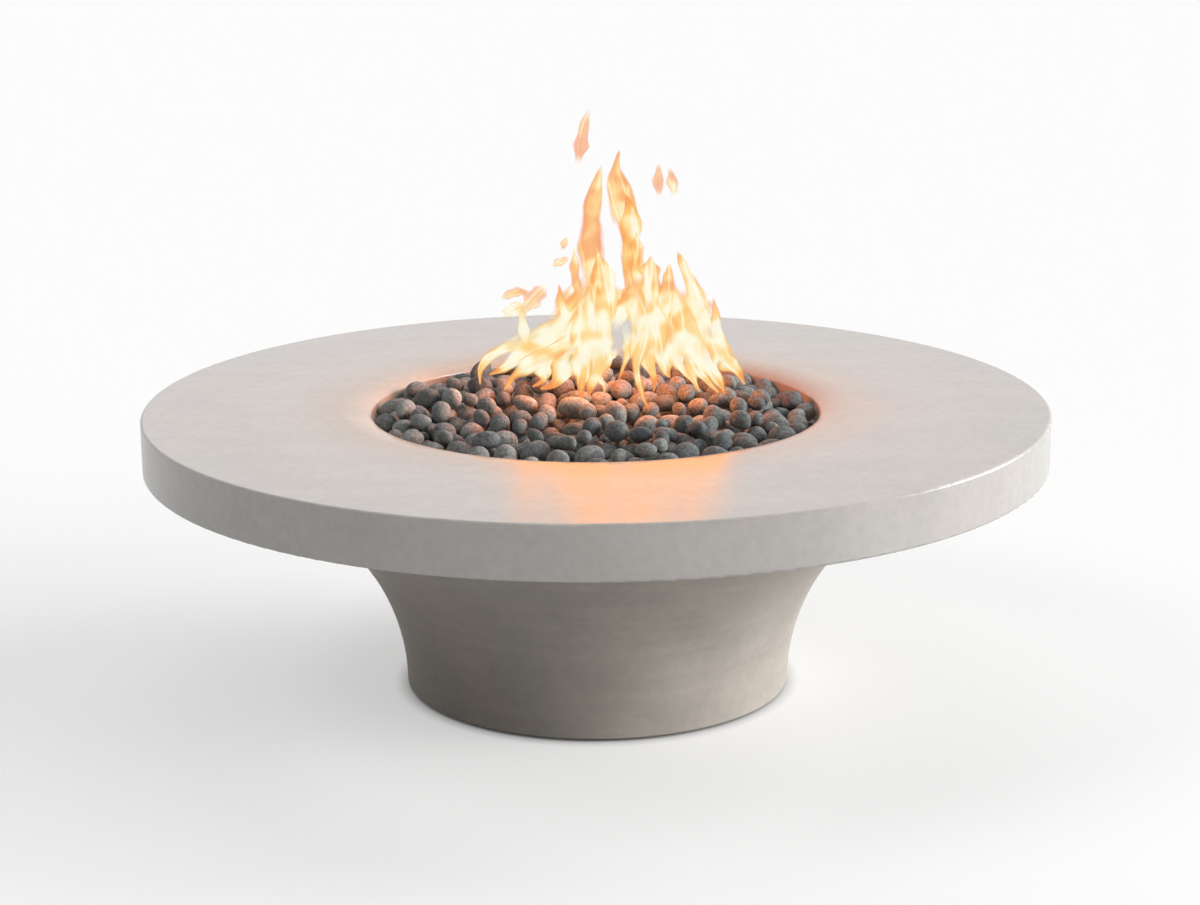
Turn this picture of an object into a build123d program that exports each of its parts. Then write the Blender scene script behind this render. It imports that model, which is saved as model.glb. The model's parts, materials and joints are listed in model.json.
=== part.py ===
from build123d import *
from build123d.topology import SkipClean
import os
from math import cos, pi, radians, sin, sqrt, tan

import numpy as np

# Round gas fire table, in millimetres. Origin on the floor under the middle, +Z up, controls face +Y.

# Table top
TABLE_HEIGHT = 450.0
TOP_DIAMETER = 1400.0
TOP_THICKNESS = 80.0
TOP_SKIN = 26.0
APRON_WALL = 40.0
HUB_WIDTH = 200.0
TOP_EDGE_RADIUS = 4.0
BOWL_DIAMETER = 696.0
LIP_WIDTH = 46.0
LIP_DROP = 14.0
BOWL_DEPTH = 43.0
LEDGE_WIDTH = 16.0

# Pedestal
FLOOR_GAP = 4.0
BASE_DIAMETER = 604.0
FLARE_RADIUS = 363.0
FLARE_ANGLE = 45.0
PEDESTAL_WALL = 24.0
FLANGE_THICKNESS = 30.0
FLANGE_REACH = 42.0
BASE_RING_WIDTH = 74.0
BASE_RING_HEIGHT = 30.0
BASE_EDGE_RADIUS = 3.0

# Joint between top and pedestal
GASKET_THICKNESS = 4.0
GASKET_SETBACK = 8.0
TOP_BOLT_COUNT = 6
TOP_BOLT_DIAMETER = 10.0
TOP_BOLT_INSET = 20.0
TOP_BOLT_HEAD_FLATS = 17.0
TOP_BOLT_HEAD_HEIGHT = 6.4
TOP_BOLT_ENGAGEMENT = 26.0
WASHER_DIAMETER = 24.0
WASHER_THICKNESS = 2.5
SLAB_INSERT_DIAMETER = 16.0
SLAB_INSERT_LENGTH = 36.0
BOLT_CLEARANCE = 0.6
THREAD_CLEARANCE = 0.05

# Levelling feet
FOOT_COUNT = 4
FOOT_START_ANGLE = 45.0
FOOT_INSET = 40.0
FOOT_PAD_DIAMETER = 44.0
FOOT_PAD_HEIGHT = 10.0
FOOT_PLATE_DIAMETER = 36.0
FOOT_PLATE_THICKNESS = 3.0
FOOT_STUD_DIAMETER = 12.0
FOOT_STUD_PROUD = 8.0
FOOT_POCKET_CLEARANCE = 4.0
FOOT_INSERT_DIAMETER = 20.0
FOOT_SLOT_WIDTH = 2.5
FOOT_SLOT_DEPTH = 3.0

# Burner pan
PAN_SHEET = 1.5
PAN_DEPTH = 54.0
PAN_CLEARANCE = 1.5
DRAIN_COUNT = 6
DRAIN_DIAMETER = 10.0
DRAIN_CIRCLE = 520.0

# Burner
TUBE_DIAMETER = 19.0
TUBE_WALL = 1.5
SPOKE_DIAMETER = 16.0
SPOKE_COUNT = 4
OUTER_RING_DIAMETER = 390.0
INNER_RING_DIAMETER = 200.0
BURNER_LIFT = 8.0
BURNER_HUB_DIAMETER = 48.0
BURNER_HUB_CAP = 3.0
PORT_LENGTH = 8.0
PORT_WIDTH = 1.2
OUTER_PORT_COUNT = 48
INNER_PORT_COUNT = 24
SUPPORT_DIAMETER = 12.0
SUPPORT_CLEARANCE = 0.2
BED_CLEARANCE = 0.4

# Gas inlet, mixer and hose
NIPPLE_DIAMETER = 21.3
NIPPLE_BORE = 15.8
NIPPLE_THREAD = 10.0
NIPPLE_DROP = 45.0
LOCKNUT_FLATS = 32.0
LOCKNUT_HEIGHT = 8.0
MIXER_DIAMETER = 34.0
MIXER_LENGTH = 80.0
MIXER_SOCKET = 15.0
MIXER_BORE = 16.0
MIXER_COLLAR_DIAMETER = 42.0
MIXER_COLLAR_HEIGHT = 4.0
MIXER_COLLAR_RISE = 14.0
SHUTTER_WALL = 2.0
SHUTTER_HEIGHT = 26.0
AIR_WINDOW_WIDTH = 14.0
AIR_WINDOW_HEIGHT = 16.0
FLARE_DIAMETER = 15.88
FLARE_LENGTH = 16.0
FITTING_FLATS = 19.0
FITTING_HEX_LENGTH = 8.0
FITTING_PLUG_DIAMETER = 13.0
FITTING_PLUG_LENGTH = 10.0
FITTING_BORE = 6.0
ORIFICE_BORE = 2.0
HOSE_DIAMETER = 13.0
HOSE_BORE = 9.0
HOSE_NUT_FLATS = 22.0
HOSE_NUT_LENGTH = 20.0
HOSE_STRAIGHT_OUT = 38.0
HOSE_BEND_SHARE = 0.45

# Control recess and panel
NICHE_WIDTH = 240.0
NICHE_HEIGHT = 130.0
NICHE_CENTRE_HEIGHT = 135.0
NICHE_WALL = 20.0
NICHE_CORNER = 8.0
NICHE_LIP = 12.0
NICHE_LIP_THICKNESS = 16.0
PANEL_SETBACK = 52.0
PANEL_SHEET = 2.0
PANEL_CLEARANCE = 1.0
PANEL_SCREW_DIAMETER = 4.0
PANEL_SCREW_HEAD_DIAMETER = 8.0
PANEL_SCREW_HEAD_HEIGHT = 2.6
PANEL_SCREW_LENGTH = 14.0
PANEL_SCREW_SOCKET = 2.5
PANEL_SCREW_SOCKET_DEPTH = 1.4
PANEL_INSERT_DIAMETER = 7.0
PANEL_INSERT_LENGTH = 12.0

# Gas valve and knob
CONTROL_HEIGHT = 140.0
VALVE_OFFSET = -55.0
VALVE_SETBACK = 26.0
VALVE_WIDTH = 44.0
VALVE_DEPTH = 50.0
VALVE_ABOVE = 24.0
VALVE_BELOW = 46.0
VALVE_OUTLET_DROP = 32.0
VALVE_NECK_DIAMETER = 18.0
VALVE_NECK_PROUD = 3.0
VALVE_NUT_FLATS = 24.0
VALVE_NUT_HEIGHT = 4.0
VALVE_CAP_FLATS = 22.0
VALVE_CAP_HEIGHT = 6.0
VALVE_CAP_PLUG = 12.0
ROTOR_DIAMETER = 18.0
ROTOR_LENGTH = 26.0
ROTOR_END_PLAY = 0.2
ROTOR_PORT = 6.0
STEM_DIAMETER = 8.0
STEM_FLAT = 1.2
STEM_IN_ROTOR = 14.0
STEM_IN_KNOB = 16.0
RUNNING_CLEARANCE = 0.05
NECK_CLEARANCE = 0.5
KNOB_DIAMETER = 48.0
KNOB_LENGTH = 24.0
KNOB_TRAVEL = 4.0
KNOB_GAP = 1.5
KNOB_RECESS_DIAMETER = 34.0
KNOB_RECESS_DEPTH = 6.0
KNOB_EDGE = 2.5
FLUTE_COUNT = 12
FLUTE_DIAMETER = 9.0
FLUTE_DEPTH = 1.6
FLUTE_LENGTH = 18.0
POINTER_WIDTH = 3.0
POINTER_LENGTH = 15.0
POINTER_DEPTH = 1.0
POINTER_PROUD = 0.6
SPRING_WIRE = 0.4
VALVE_SPRING_TURNS = 3
IGNITER_SPRING_TURNS = 3
SPRING_CLEARANCE = 0.3

# Igniter
IGNITER_OFFSET = 35.0
IGNITER_DIAMETER = 22.0
IGNITER_REACH = 54.0
IGNITER_FLANGE_DIAMETER = 30.0
IGNITER_FLANGE_THICKNESS = 3.0
IGNITER_NUT_FLATS = 28.0
IGNITER_NUT_HEIGHT = 6.0
BUTTON_DIAMETER = 15.0
BUTTON_PROUD = 9.0
BUTTON_TRAVEL = 6.0
BUTTON_LENGTH = 40.0
BUTTON_EDGE = 1.5

# Pilot assembly
PILOT_WIDTH = 60.0
PILOT_DEPTH = 44.0
PILOT_SHEET = 1.0
PILOT_TOP_MARGIN = 2.0
PILOT_SLOT_COUNT = 5
PILOT_SLOT_WIDTH = 3.0
PILOT_HOLE_DIAMETER = 10.0
PILOT_SPACING = 26.0
ELECTRODE_DIAMETER = 2.5
ELECTRODE_LENGTH = 40.0
INSULATOR_DIAMETER = 8.0
INSULATOR_LENGTH = 26.0
INSULATOR_BELOW_PAN = 8.0
THERMOCOUPLE_DIAMETER = 5.0
THERMOCOUPLE_LENGTH = 38.0
LEAD_DIAMETER = 3.0
LEAD_BEND_RADIUS = 18.0

# Lava stones
STONE_LENGTH_MIN = 32.0
STONE_LENGTH_MAX = 54.0
STONE_SLIM_MIN = 0.60
STONE_SLIM_MAX = 0.88
STONE_TILT = 14.0
STONE_GAP = 0.5
STONE_SEED = 7
STONE_LAYERS = ("lower", "upper")
LAYER_COVER = (0.72, 0.70)
LAYER_REACH = (1.0, 0.94)
SETTLE_STEPS = 420
SETTLE_DROP = 0.3
SETTLE_SLACK = 0.25
PAIRS_EVERY = 10
SEAT_STEP = 0.05
HEAP_RISE = 34.0
HEAP_RIM_RISE = 12.0

# Heights and radii worked out from the values above
base_radius = BASE_DIAMETER / 2
slab_bottom = TABLE_HEIGHT - TOP_THICKNESS
pedestal_top = slab_bottom - GASKET_THICKNESS
bowl_radius = BOWL_DIAMETER / 2
ledge_radius = bowl_radius - LEDGE_WIDTH
ledge_height = TABLE_HEIGHT - BOWL_DEPTH
stone_floor = ledge_height + PAN_SHEET
pan_bottom = stone_floor - PAN_DEPTH
pan_floor = pan_bottom + PAN_SHEET
pan_radius = ledge_radius - PAN_CLEARANCE
burner_height = pan_floor + BURNER_LIFT + TUBE_DIAMETER / 2
burner_hub_top = burner_height + TUBE_DIAMETER / 2 + BURNER_HUB_CAP
nipple_bottom = pan_bottom - NIPPLE_DROP
mixer_top = nipple_bottom + MIXER_SOCKET
mixer_bottom = mixer_top - MIXER_LENGTH
panel_face = base_radius - PANEL_SETBACK
panel_back = panel_face - PANEL_SHEET
valve_front = panel_back - VALVE_SETBACK
valve_back = valve_front - VALVE_DEPTH
base_bore = base_radius - BASE_RING_WIDTH
foot_circle = base_radius - FOOT_INSET
flare_centre = base_radius + FLARE_RADIUS
flange_bottom = pedestal_top - FLANGE_THICKNESS
pilot_radius = (OUTER_RING_DIAMETER + INNER_RING_DIAMETER) / 4

REARWARD = Rot(-90, 0, 0)
FORWARD = Rot(90, 0, 0)
DOWNWARD = Rot(180, 0, 0)
ON_BASE = (Align.CENTER, Align.CENTER, Align.MIN)


def rod(diameter, length):
    """Round rod standing on its lower end."""
    return Cylinder(diameter / 2, length, align=ON_BASE)


def sleeve(outer, inner, length):
    """Tube standing on its lower end."""
    return rod(outer, length) - rod(inner, length)


def hexagon(flats, length):
    """Hexagonal prism standing on its lower end, measured across its flats."""
    return extrude(RegularPolygon(flats / 2, 6, major_radius=False), length)


def lathe(outline):
    """Solid of revolution about Z of an outline drawn as radius and height."""
    return revolve(make_face(Plane.XZ * outline), Axis.Z)


def around(radius, count, start=0.0):
    """Places evenly spaced on a circle about Z."""
    return PolarLocations(radius, count, start_angle=start, rotate=True)


def group(solids):
    """Separate solids kept together as one node."""
    return Compound([solid for item in solids for solid in item.solids()])


def flare_radius_at(height, wall):
    """Radius of the pedestal's curve at a height, moved inwards by a wall."""
    arc = FLARE_RADIUS + wall
    rise = arc * sin(radians(FLARE_ANGLE))
    above = height - FLOOR_GAP
    if above <= rise:
        return flare_centre - sqrt(arc ** 2 - above ** 2)
    return flare_centre - arc * cos(radians(FLARE_ANGLE)) + (above - rise) * tan(radians(FLARE_ANGLE))


def flare_curve(low, high, wall):
    """The pedestal's curve between two heights: an arc and then a straight flare."""
    arc = FLARE_RADIUS + wall
    turn = FLOOR_GAP + arc * sin(radians(FLARE_ANGLE))
    middle = (low + turn) / 2
    bend = ThreePointArc(
        (flare_radius_at(low, wall), low),
        (flare_radius_at(middle, wall), middle),
        (flare_radius_at(turn, wall), turn),
    )
    return bend + Line((flare_radius_at(turn, wall), turn), (flare_radius_at(high, wall), high))


# Table top


def table_top():
    """Cast disc with a rolled bowl lip, a ledge for the pan and a hollowed underside."""
    rim = TOP_DIAMETER / 2
    hub = ledge_radius + HUB_WIDTH
    apron = rim - APRON_WALL
    hollow = TABLE_HEIGHT - TOP_SKIN
    lip_start = bowl_radius + LIP_WIDTH
    lip_end = TABLE_HEIGHT - LIP_DROP
    edge = TOP_EDGE_RADIUS
    outer = FilletPolyline(
        (bowl_radius, lip_end),
        (bowl_radius, ledge_height),
        (ledge_radius, ledge_height),
        (ledge_radius, slab_bottom),
        (hub, slab_bottom),
        (hub, hollow),
        (apron, hollow),
        (apron, slab_bottom),
        (rim, slab_bottom),
        (rim, TABLE_HEIGHT),
        (lip_start, TABLE_HEIGHT),
        radius=[0, 0, edge, edge, edge, edge, edge, edge, edge],
    )
    lip = EllipticalCenterArc((lip_start, lip_end), LIP_WIDTH, LIP_DROP, 90, arc_size=90)
    disc = lathe(outer + lip)
    pocket = rod(SLAB_INSERT_DIAMETER + 2 * THREAD_CLEARANCE, SLAB_INSERT_LENGTH)
    return disc - [Pos(0, 0, slab_bottom) * place * pocket for place in bolt_places()]


# Pedestal


def bolt_places():
    """Places of the bolts that hold the top on the pedestal's flange."""
    flange_bore = flare_radius_at(flange_bottom, PEDESTAL_WALL) - FLANGE_REACH
    return around(flange_bore + TOP_BOLT_INSET, TOP_BOLT_COUNT)


def foot_places():
    """Places of the levelling feet."""
    return around(foot_circle, FOOT_COUNT, FOOT_START_ANGLE)


def pedestal_shell():
    """Hollow flared shell with its base ring and its bearing flange."""
    ring_top = FLOOR_GAP + BASE_RING_HEIGHT
    inner_low = flare_radius_at(ring_top, PEDESTAL_WALL)
    inner_high = flare_radius_at(flange_bottom, PEDESTAL_WALL)
    flange_bore = inner_high - FLANGE_REACH
    outer_top = flare_radius_at(pedestal_top, 0)
    outline = (
        flare_curve(FLOOR_GAP, pedestal_top, 0)
        + Polyline((outer_top, pedestal_top), (flange_bore, pedestal_top), (flange_bore, flange_bottom),
                   (inner_high, flange_bottom))
        + flare_curve(ring_top, flange_bottom, PEDESTAL_WALL)
        + Polyline((inner_low, ring_top), (base_bore, ring_top), (base_bore, FLOOR_GAP),
                   (base_radius, FLOOR_GAP))
    )
    shell = lathe(outline)
    bottom_edges = shell.edges().filter_by(GeomType.CIRCLE).group_by(Axis.Z)[0]
    return fillet(bottom_edges.sort_by(SortBy.RADIUS)[-1], BASE_EDGE_RADIUS)


def pedestal_filling():
    """The pedestal's outer form as one full solid, to trim the recess walls."""
    outer_top = flare_radius_at(pedestal_top, 0)
    outline = flare_curve(FLOOR_GAP, pedestal_top, 0) + Polyline(
        (outer_top, pedestal_top), (0, pedestal_top), (0, FLOOR_GAP), (base_radius, FLOOR_GAP)
    )
    return lathe(outline)


def recess_block(width, height, corner, start, length):
    """Rounded block along Y, centred on the control recess."""
    block = extrude(RectangleRounded(width, height, corner), length)
    return Pos(0, start, NICHE_CENTRE_HEIGHT) * REARWARD * block


def pedestal():
    """Flared shell with a walled control recess at the rear and sockets for the feet and bolts."""
    back = panel_back - NICHE_LIP_THICKNESS
    reach = flare_radius_at(NICHE_CENTRE_HEIGHT + NICHE_HEIGHT, 0) - back
    lip_width = NICHE_WIDTH - 2 * NICHE_LIP
    lip_height = NICHE_HEIGHT - 2 * NICHE_LIP
    walls = recess_block(
        NICHE_WIDTH + 2 * NICHE_WALL, NICHE_HEIGHT + 2 * NICHE_WALL, NICHE_CORNER + NICHE_WALL, back, reach
    )
    body = pedestal_shell() + (walls & pedestal_filling())
    body -= recess_block(NICHE_WIDTH, NICHE_HEIGHT, NICHE_CORNER, panel_back, reach)
    body -= recess_block(lip_width, lip_height, NICHE_CORNER, back, reach)
    screw_pocket = rod(PANEL_INSERT_DIAMETER + 2 * THREAD_CLEARANCE, PANEL_INSERT_LENGTH)
    body -= [place * FORWARD * screw_pocket for place in panel_screw_places(panel_back)]
    bolt_hole = rod(TOP_BOLT_DIAMETER + 2 * BOLT_CLEARANCE, FLANGE_THICKNESS)
    body -= [Pos(0, 0, flange_bottom) * place * bolt_hole for place in bolt_places()]
    foot_room = rod(FOOT_PAD_DIAMETER + 2 * FOOT_POCKET_CLEARANCE, foot_pocket_top() - FLOOR_GAP)
    foot_hole = rod(FOOT_INSERT_DIAMETER + 2 * THREAD_CLEARANCE, BASE_RING_HEIGHT)
    body -= [Pos(0, 0, FLOOR_GAP) * place * (foot_room + foot_hole) for place in foot_places()]
    return body


# Joint between top and pedestal


def bearing_gasket():
    """Rubber ring between the pedestal's flange and the slab."""
    outer = flare_radius_at(pedestal_top, 0) - GASKET_SETBACK
    inner = flare_radius_at(flange_bottom, PEDESTAL_WALL) - FLANGE_REACH
    ring = Pos(0, 0, pedestal_top) * sleeve(2 * outer, 2 * inner, GASKET_THICKNESS)
    hole = rod(TOP_BOLT_DIAMETER + 2 * BOLT_CLEARANCE, GASKET_THICKNESS)
    return ring - [Pos(0, 0, pedestal_top) * place * hole for place in bolt_places()]


def slab_inserts():
    """Threaded sockets cast into the slab."""
    socket = sleeve(SLAB_INSERT_DIAMETER, TOP_BOLT_DIAMETER + 2 * THREAD_CLEARANCE, SLAB_INSERT_LENGTH)
    return group(Pos(0, 0, slab_bottom) * place * socket for place in bolt_places())


def top_washers():
    """Wide washers under the bolt heads."""
    washer = sleeve(WASHER_DIAMETER, TOP_BOLT_DIAMETER + 2 * BOLT_CLEARANCE, WASHER_THICKNESS)
    low = flange_bottom - WASHER_THICKNESS
    return group(Pos(0, 0, low) * place * washer for place in bolt_places())


def top_bolts():
    """Hexagon bolts up through the flange into the slab's sockets."""
    grip = WASHER_THICKNESS + FLANGE_THICKNESS + GASKET_THICKNESS + TOP_BOLT_ENGAGEMENT
    head = hexagon(TOP_BOLT_HEAD_FLATS, TOP_BOLT_HEAD_HEIGHT)
    bolt = head + Pos(0, 0, TOP_BOLT_HEAD_HEIGHT) * rod(TOP_BOLT_DIAMETER, grip)
    low = flange_bottom - WASHER_THICKNESS - TOP_BOLT_HEAD_HEIGHT
    return group(Pos(0, 0, low) * place * bolt for place in bolt_places())


# Levelling feet


def foot_pocket_top():
    """Height of the pocket's roof above a foot pad."""
    return FOOT_PAD_HEIGHT + FOOT_POCKET_CLEARANCE


def foot_inserts():
    """Threaded sockets of the feet in the base ring."""
    length = FLOOR_GAP + BASE_RING_HEIGHT - foot_pocket_top()
    socket = sleeve(FOOT_INSERT_DIAMETER, FOOT_STUD_DIAMETER + 2 * RUNNING_CLEARANCE, length)
    return group(Pos(0, 0, foot_pocket_top()) * place * socket for place in foot_places())


def foot_pad(place):
    """Rubber sole with a recess for the stud's plate."""
    plate_low = FOOT_PAD_HEIGHT - FOOT_PLATE_THICKNESS
    recess = Pos(0, 0, plate_low) * rod(FOOT_PLATE_DIAMETER + 2 * THREAD_CLEARANCE, FOOT_PLATE_THICKNESS)
    return place * (rod(FOOT_PAD_DIAMETER, FOOT_PAD_HEIGHT) - recess)


def foot_stud(place):
    """Threaded stud on a round plate, with a driver slot in its top end."""
    top = FLOOR_GAP + BASE_RING_HEIGHT + FOOT_STUD_PROUD
    plate_low = FOOT_PAD_HEIGHT - FOOT_PLATE_THICKNESS
    stud = Pos(0, 0, plate_low) * (
        rod(FOOT_PLATE_DIAMETER, FOOT_PLATE_THICKNESS) + rod(FOOT_STUD_DIAMETER, top - plate_low)
    )
    slot = Box(2 * FOOT_STUD_DIAMETER, FOOT_SLOT_WIDTH, FOOT_SLOT_DEPTH, align=ON_BASE)
    return place * (stud - Pos(0, 0, top - FOOT_SLOT_DEPTH) * slot)


# Burner pan and burner


def burner_pan():
    """Pressed pan with a flange on the bowl's ledge, drain holes and holes for the gas and pilot lines."""
    flange = bowl_radius - PAN_CLEARANCE
    wall = pan_radius - PAN_SHEET
    outline = Polyline(
        (0, pan_bottom), (pan_radius, pan_bottom), (pan_radius, ledge_height), (flange, ledge_height),
        (flange, stone_floor), (wall, stone_floor), (wall, pan_floor), (0, pan_floor), close=True
    )
    pan = lathe(outline)
    drain = rod(DRAIN_DIAMETER, PAN_SHEET)
    pilot_hole = rod(PILOT_HOLE_DIAMETER, PAN_SHEET)
    inlet_hole = rod(NIPPLE_DIAMETER + 2 * BOLT_CLEARANCE, PAN_SHEET)
    holes = [place * drain for place in around(DRAIN_CIRCLE / 2, DRAIN_COUNT)]
    holes += [Pos(side, pilot_radius, 0) * pilot_hole for side in pilot_sides()]
    return pan - [Pos(0, 0, pan_bottom) * hole for hole in holes + [inlet_hole]]


def burner_tubes(ring, spoke):
    """Two rings and the spokes as full solids, given their diameters."""
    arm = Rot(0, 90, 0) * rod(spoke, OUTER_RING_DIAMETER / 2)
    first = 180 / SPOKE_COUNT
    arms = [Rot(0, 0, first + step * 360 / SPOKE_COUNT) * arm for step in range(SPOKE_COUNT)]
    return Torus(OUTER_RING_DIAMETER / 2, ring / 2) + arms + Torus(INNER_RING_DIAMETER / 2, ring / 2)


def burner():
    """Double ring burner of hollow tube with slotted gas ports along the top."""
    ring_bore = TUBE_DIAMETER - 2 * TUBE_WALL
    spoke_bore = SPOKE_DIAMETER - 2 * TUBE_WALL
    socket_low = pan_floor - burner_height
    port = Box(PORT_LENGTH, PORT_WIDTH, TUBE_DIAMETER, align=ON_BASE)
    ports = []
    for ring, count in ((OUTER_RING_DIAMETER, OUTER_PORT_COUNT), (INNER_RING_DIAMETER, INNER_PORT_COUNT)):
        half_step = 180 / count
        ports += [place * port for place in around(ring / 2, count, half_step)]
    # Merging faces of crossing tubes spoils them, so they are joined as they are.
    with SkipClean():
        full = burner_tubes(TUBE_DIAMETER, SPOKE_DIAMETER)
        full += Pos(0, 0, socket_low) * rod(BURNER_HUB_DIAMETER, burner_hub_top - pan_floor)
        hollow = burner_tubes(ring_bore, spoke_bore)
        hollow += Pos(0, 0, socket_low) * rod(NIPPLE_DIAMETER + 2 * THREAD_CLEARANCE, NIPPLE_THREAD)
        hollow += Pos(0, 0, socket_low) * rod(NIPPLE_BORE, burner_height - pan_floor)
        return Pos(0, 0, burner_height) * (full - hollow - ports)


def support_posts(diameter):
    """Short posts under the outer ring."""
    height = BURNER_LIFT - SUPPORT_CLEARANCE
    post = rod(diameter, height)
    return [Pos(0, 0, pan_floor) * place * post for place in around(OUTER_RING_DIAMETER / 2, SPOKE_COUNT)]


def burner_supports():
    """Posts that carry the outer ring off the pan's floor."""
    return group(support_posts(SUPPORT_DIAMETER))


def lava_granule_bed():
    """Fine stone fill of the pan, up to the flange, round the burner and the pilot box."""
    room = 2 * BED_CLEARANCE
    radius = pan_radius - PAN_SHEET - BED_CLEARANCE
    pilot_room = Pos(0, pilot_radius, pan_floor) * Box(
        PILOT_WIDTH + room, PILOT_DEPTH + room, pilot_height() + BED_CLEARANCE, align=ON_BASE
    )
    hub_room = rod(BURNER_HUB_DIAMETER + room, burner_hub_top - pan_floor + BED_CLEARANCE)
    with SkipClean():
        bed = Pos(0, 0, pan_floor) * (rod(2 * radius, stone_floor - pan_floor) - hub_room)
        bed -= Pos(0, 0, burner_height) * burner_tubes(TUBE_DIAMETER + room, SPOKE_DIAMETER + room)
        return bed - (support_posts(SUPPORT_DIAMETER + room) + [pilot_room])


# Gas line


def burner_inlet():
    """Pipe nipple from the hub down through the pan."""
    top = pan_floor + NIPPLE_THREAD
    return Pos(0, 0, nipple_bottom) * sleeve(NIPPLE_DIAMETER, NIPPLE_BORE, top - nipple_bottom)


def pan_locknut():
    """Nut under the pan that clamps the burner's hub."""
    nut = hexagon(LOCKNUT_FLATS, LOCKNUT_HEIGHT)
    nut -= rod(NIPPLE_DIAMETER + 2 * THREAD_CLEARANCE, LOCKNUT_HEIGHT)
    return Pos(0, 0, pan_bottom - LOCKNUT_HEIGHT) * nut


def air_windows(diameter):
    """Cross bar that cuts a pair of facing air windows through a tube."""
    middle = MIXER_COLLAR_RISE + MIXER_COLLAR_HEIGHT + SHUTTER_HEIGHT / 2
    return Pos(0, 0, mixer_bottom + middle) * Box(2 * diameter, AIR_WINDOW_WIDTH, AIR_WINDOW_HEIGHT)


def air_mixer():
    """Mixing tube with a pair of air windows and a collar that carries the shutter."""
    tube = rod(MIXER_DIAMETER, MIXER_LENGTH)
    tube += Pos(0, 0, MIXER_COLLAR_RISE) * rod(MIXER_COLLAR_DIAMETER, MIXER_COLLAR_HEIGHT)
    tube -= rod(MIXER_BORE, MIXER_LENGTH)
    socket = rod(NIPPLE_DIAMETER + 2 * THREAD_CLEARANCE, MIXER_SOCKET)
    tube -= Pos(0, 0, MIXER_LENGTH - MIXER_SOCKET) * socket
    thread = rod(FITTING_PLUG_DIAMETER + 2 * THREAD_CLEARANCE, FITTING_PLUG_LENGTH)
    plug = rod(MIXER_DIAMETER - 2 * SHUTTER_WALL, FITTING_PLUG_LENGTH) - thread
    return Pos(0, 0, mixer_bottom) * (tube + plug) - air_windows(MIXER_DIAMETER)


def air_shutter():
    """Sleeve that turns on the mixer to open or close its air windows."""
    bore = MIXER_DIAMETER + 2 * RUNNING_CLEARANCE
    low = mixer_bottom + MIXER_COLLAR_RISE + MIXER_COLLAR_HEIGHT
    ring = Pos(0, 0, low) * sleeve(bore + 2 * SHUTTER_WALL, bore, SHUTTER_HEIGHT)
    return ring - air_windows(MIXER_DIAMETER)


def flare_fitting(bore):
    """Hexagon fitting with a threaded plug below and a male flare above, its plug's seat at the origin."""
    fitting = Pos(0, 0, -FITTING_PLUG_LENGTH) * rod(FITTING_PLUG_DIAMETER, FITTING_PLUG_LENGTH)
    fitting += hexagon(FITTING_FLATS, FITTING_HEX_LENGTH)
    fitting += Pos(0, 0, FITTING_HEX_LENGTH) * rod(FLARE_DIAMETER, FLARE_LENGTH)
    length = FITTING_PLUG_LENGTH + FITTING_HEX_LENGTH + FLARE_LENGTH
    return fitting - Pos(0, 0, -FITTING_PLUG_LENGTH) * rod(bore, length)


def fitting_socket():
    """Hole that takes a flare fitting's plug."""
    return Pos(0, 0, -FITTING_PLUG_LENGTH) * rod(
        FITTING_PLUG_DIAMETER + 2 * THREAD_CLEARANCE, FITTING_PLUG_LENGTH
    )


def orifice_place():
    """Seat of the orifice under the mixer, facing down."""
    return Pos(0, 0, mixer_bottom) * DOWNWARD


def inlet_place():
    """Seat of the gas inlet under the valve, facing down."""
    return Pos(VALVE_OFFSET, (valve_front + valve_back) / 2, CONTROL_HEIGHT - VALVE_BELOW) * DOWNWARD


def outlet_place():
    """Seat of the valve's outlet, facing into the pedestal."""
    return Pos(VALVE_OFFSET, valve_back, CONTROL_HEIGHT - VALVE_OUTLET_DROP) * FORWARD


def gas_orifice():
    """Brass jet in the mixer's lower end."""
    return orifice_place() * flare_fitting(ORIFICE_BORE)


def gas_inlet_fitting():
    """Flare fitting that takes the supply line, reached through the open base."""
    return inlet_place() * flare_fitting(FITTING_BORE)


def valve_outlet_fitting():
    """Flare fitting between the valve and the burner hose."""
    return outlet_place() * flare_fitting(FITTING_BORE)


def hose_nuts():
    """Flare nuts at both ends of the burner hose."""
    nut = hexagon(HOSE_NUT_FLATS, HOSE_NUT_LENGTH)
    nut -= rod(FLARE_DIAMETER + 2 * THREAD_CLEARANCE, HOSE_NUT_LENGTH)
    seat = Pos(0, 0, FITTING_HEX_LENGTH)
    return group([orifice_place() * seat * nut, outlet_place() * seat * nut])


def swept_tube(points, bends, diameter, bore):
    """Round tube along straight runs joined by tangent arcs."""
    path = FilletPolyline(*points, radius=bends)
    start = Plane(origin=path @ 0, z_dir=path % 0)
    section = start * (Circle(diameter / 2) - Circle(bore / 2)) if bore else start * Circle(diameter / 2)
    return sweep(section, path=path)


def burner_hose():
    """Flexible hose from the valve's outlet to the orifice under the burner."""
    reach = FITTING_HEX_LENGTH + FLARE_LENGTH
    outlet_height = CONTROL_HEIGHT - VALVE_OUTLET_DROP
    start = Vector(VALVE_OFFSET, valve_back - reach, outlet_height)
    turn = start - Vector(0, HOSE_STRAIGHT_OUT, 0)
    under = Vector(0, 0, outlet_height)
    end = Vector(0, 0, mixer_bottom - reach)
    points = [start, turn, under, end]
    bends = []
    for before, corner, after in zip(points, points[1:], points[2:]):
        into = corner - before
        out = after - corner
        half_turn = radians(into.get_angle(out)) / 2
        bends.append(HOSE_BEND_SHARE * min(into.length, out.length) / tan(half_turn))
    print("burner hose bend radii", [round(bend, 1) for bend in bends])
    return swept_tube(points, bends, HOSE_DIAMETER, HOSE_BORE)


# Control panel


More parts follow.
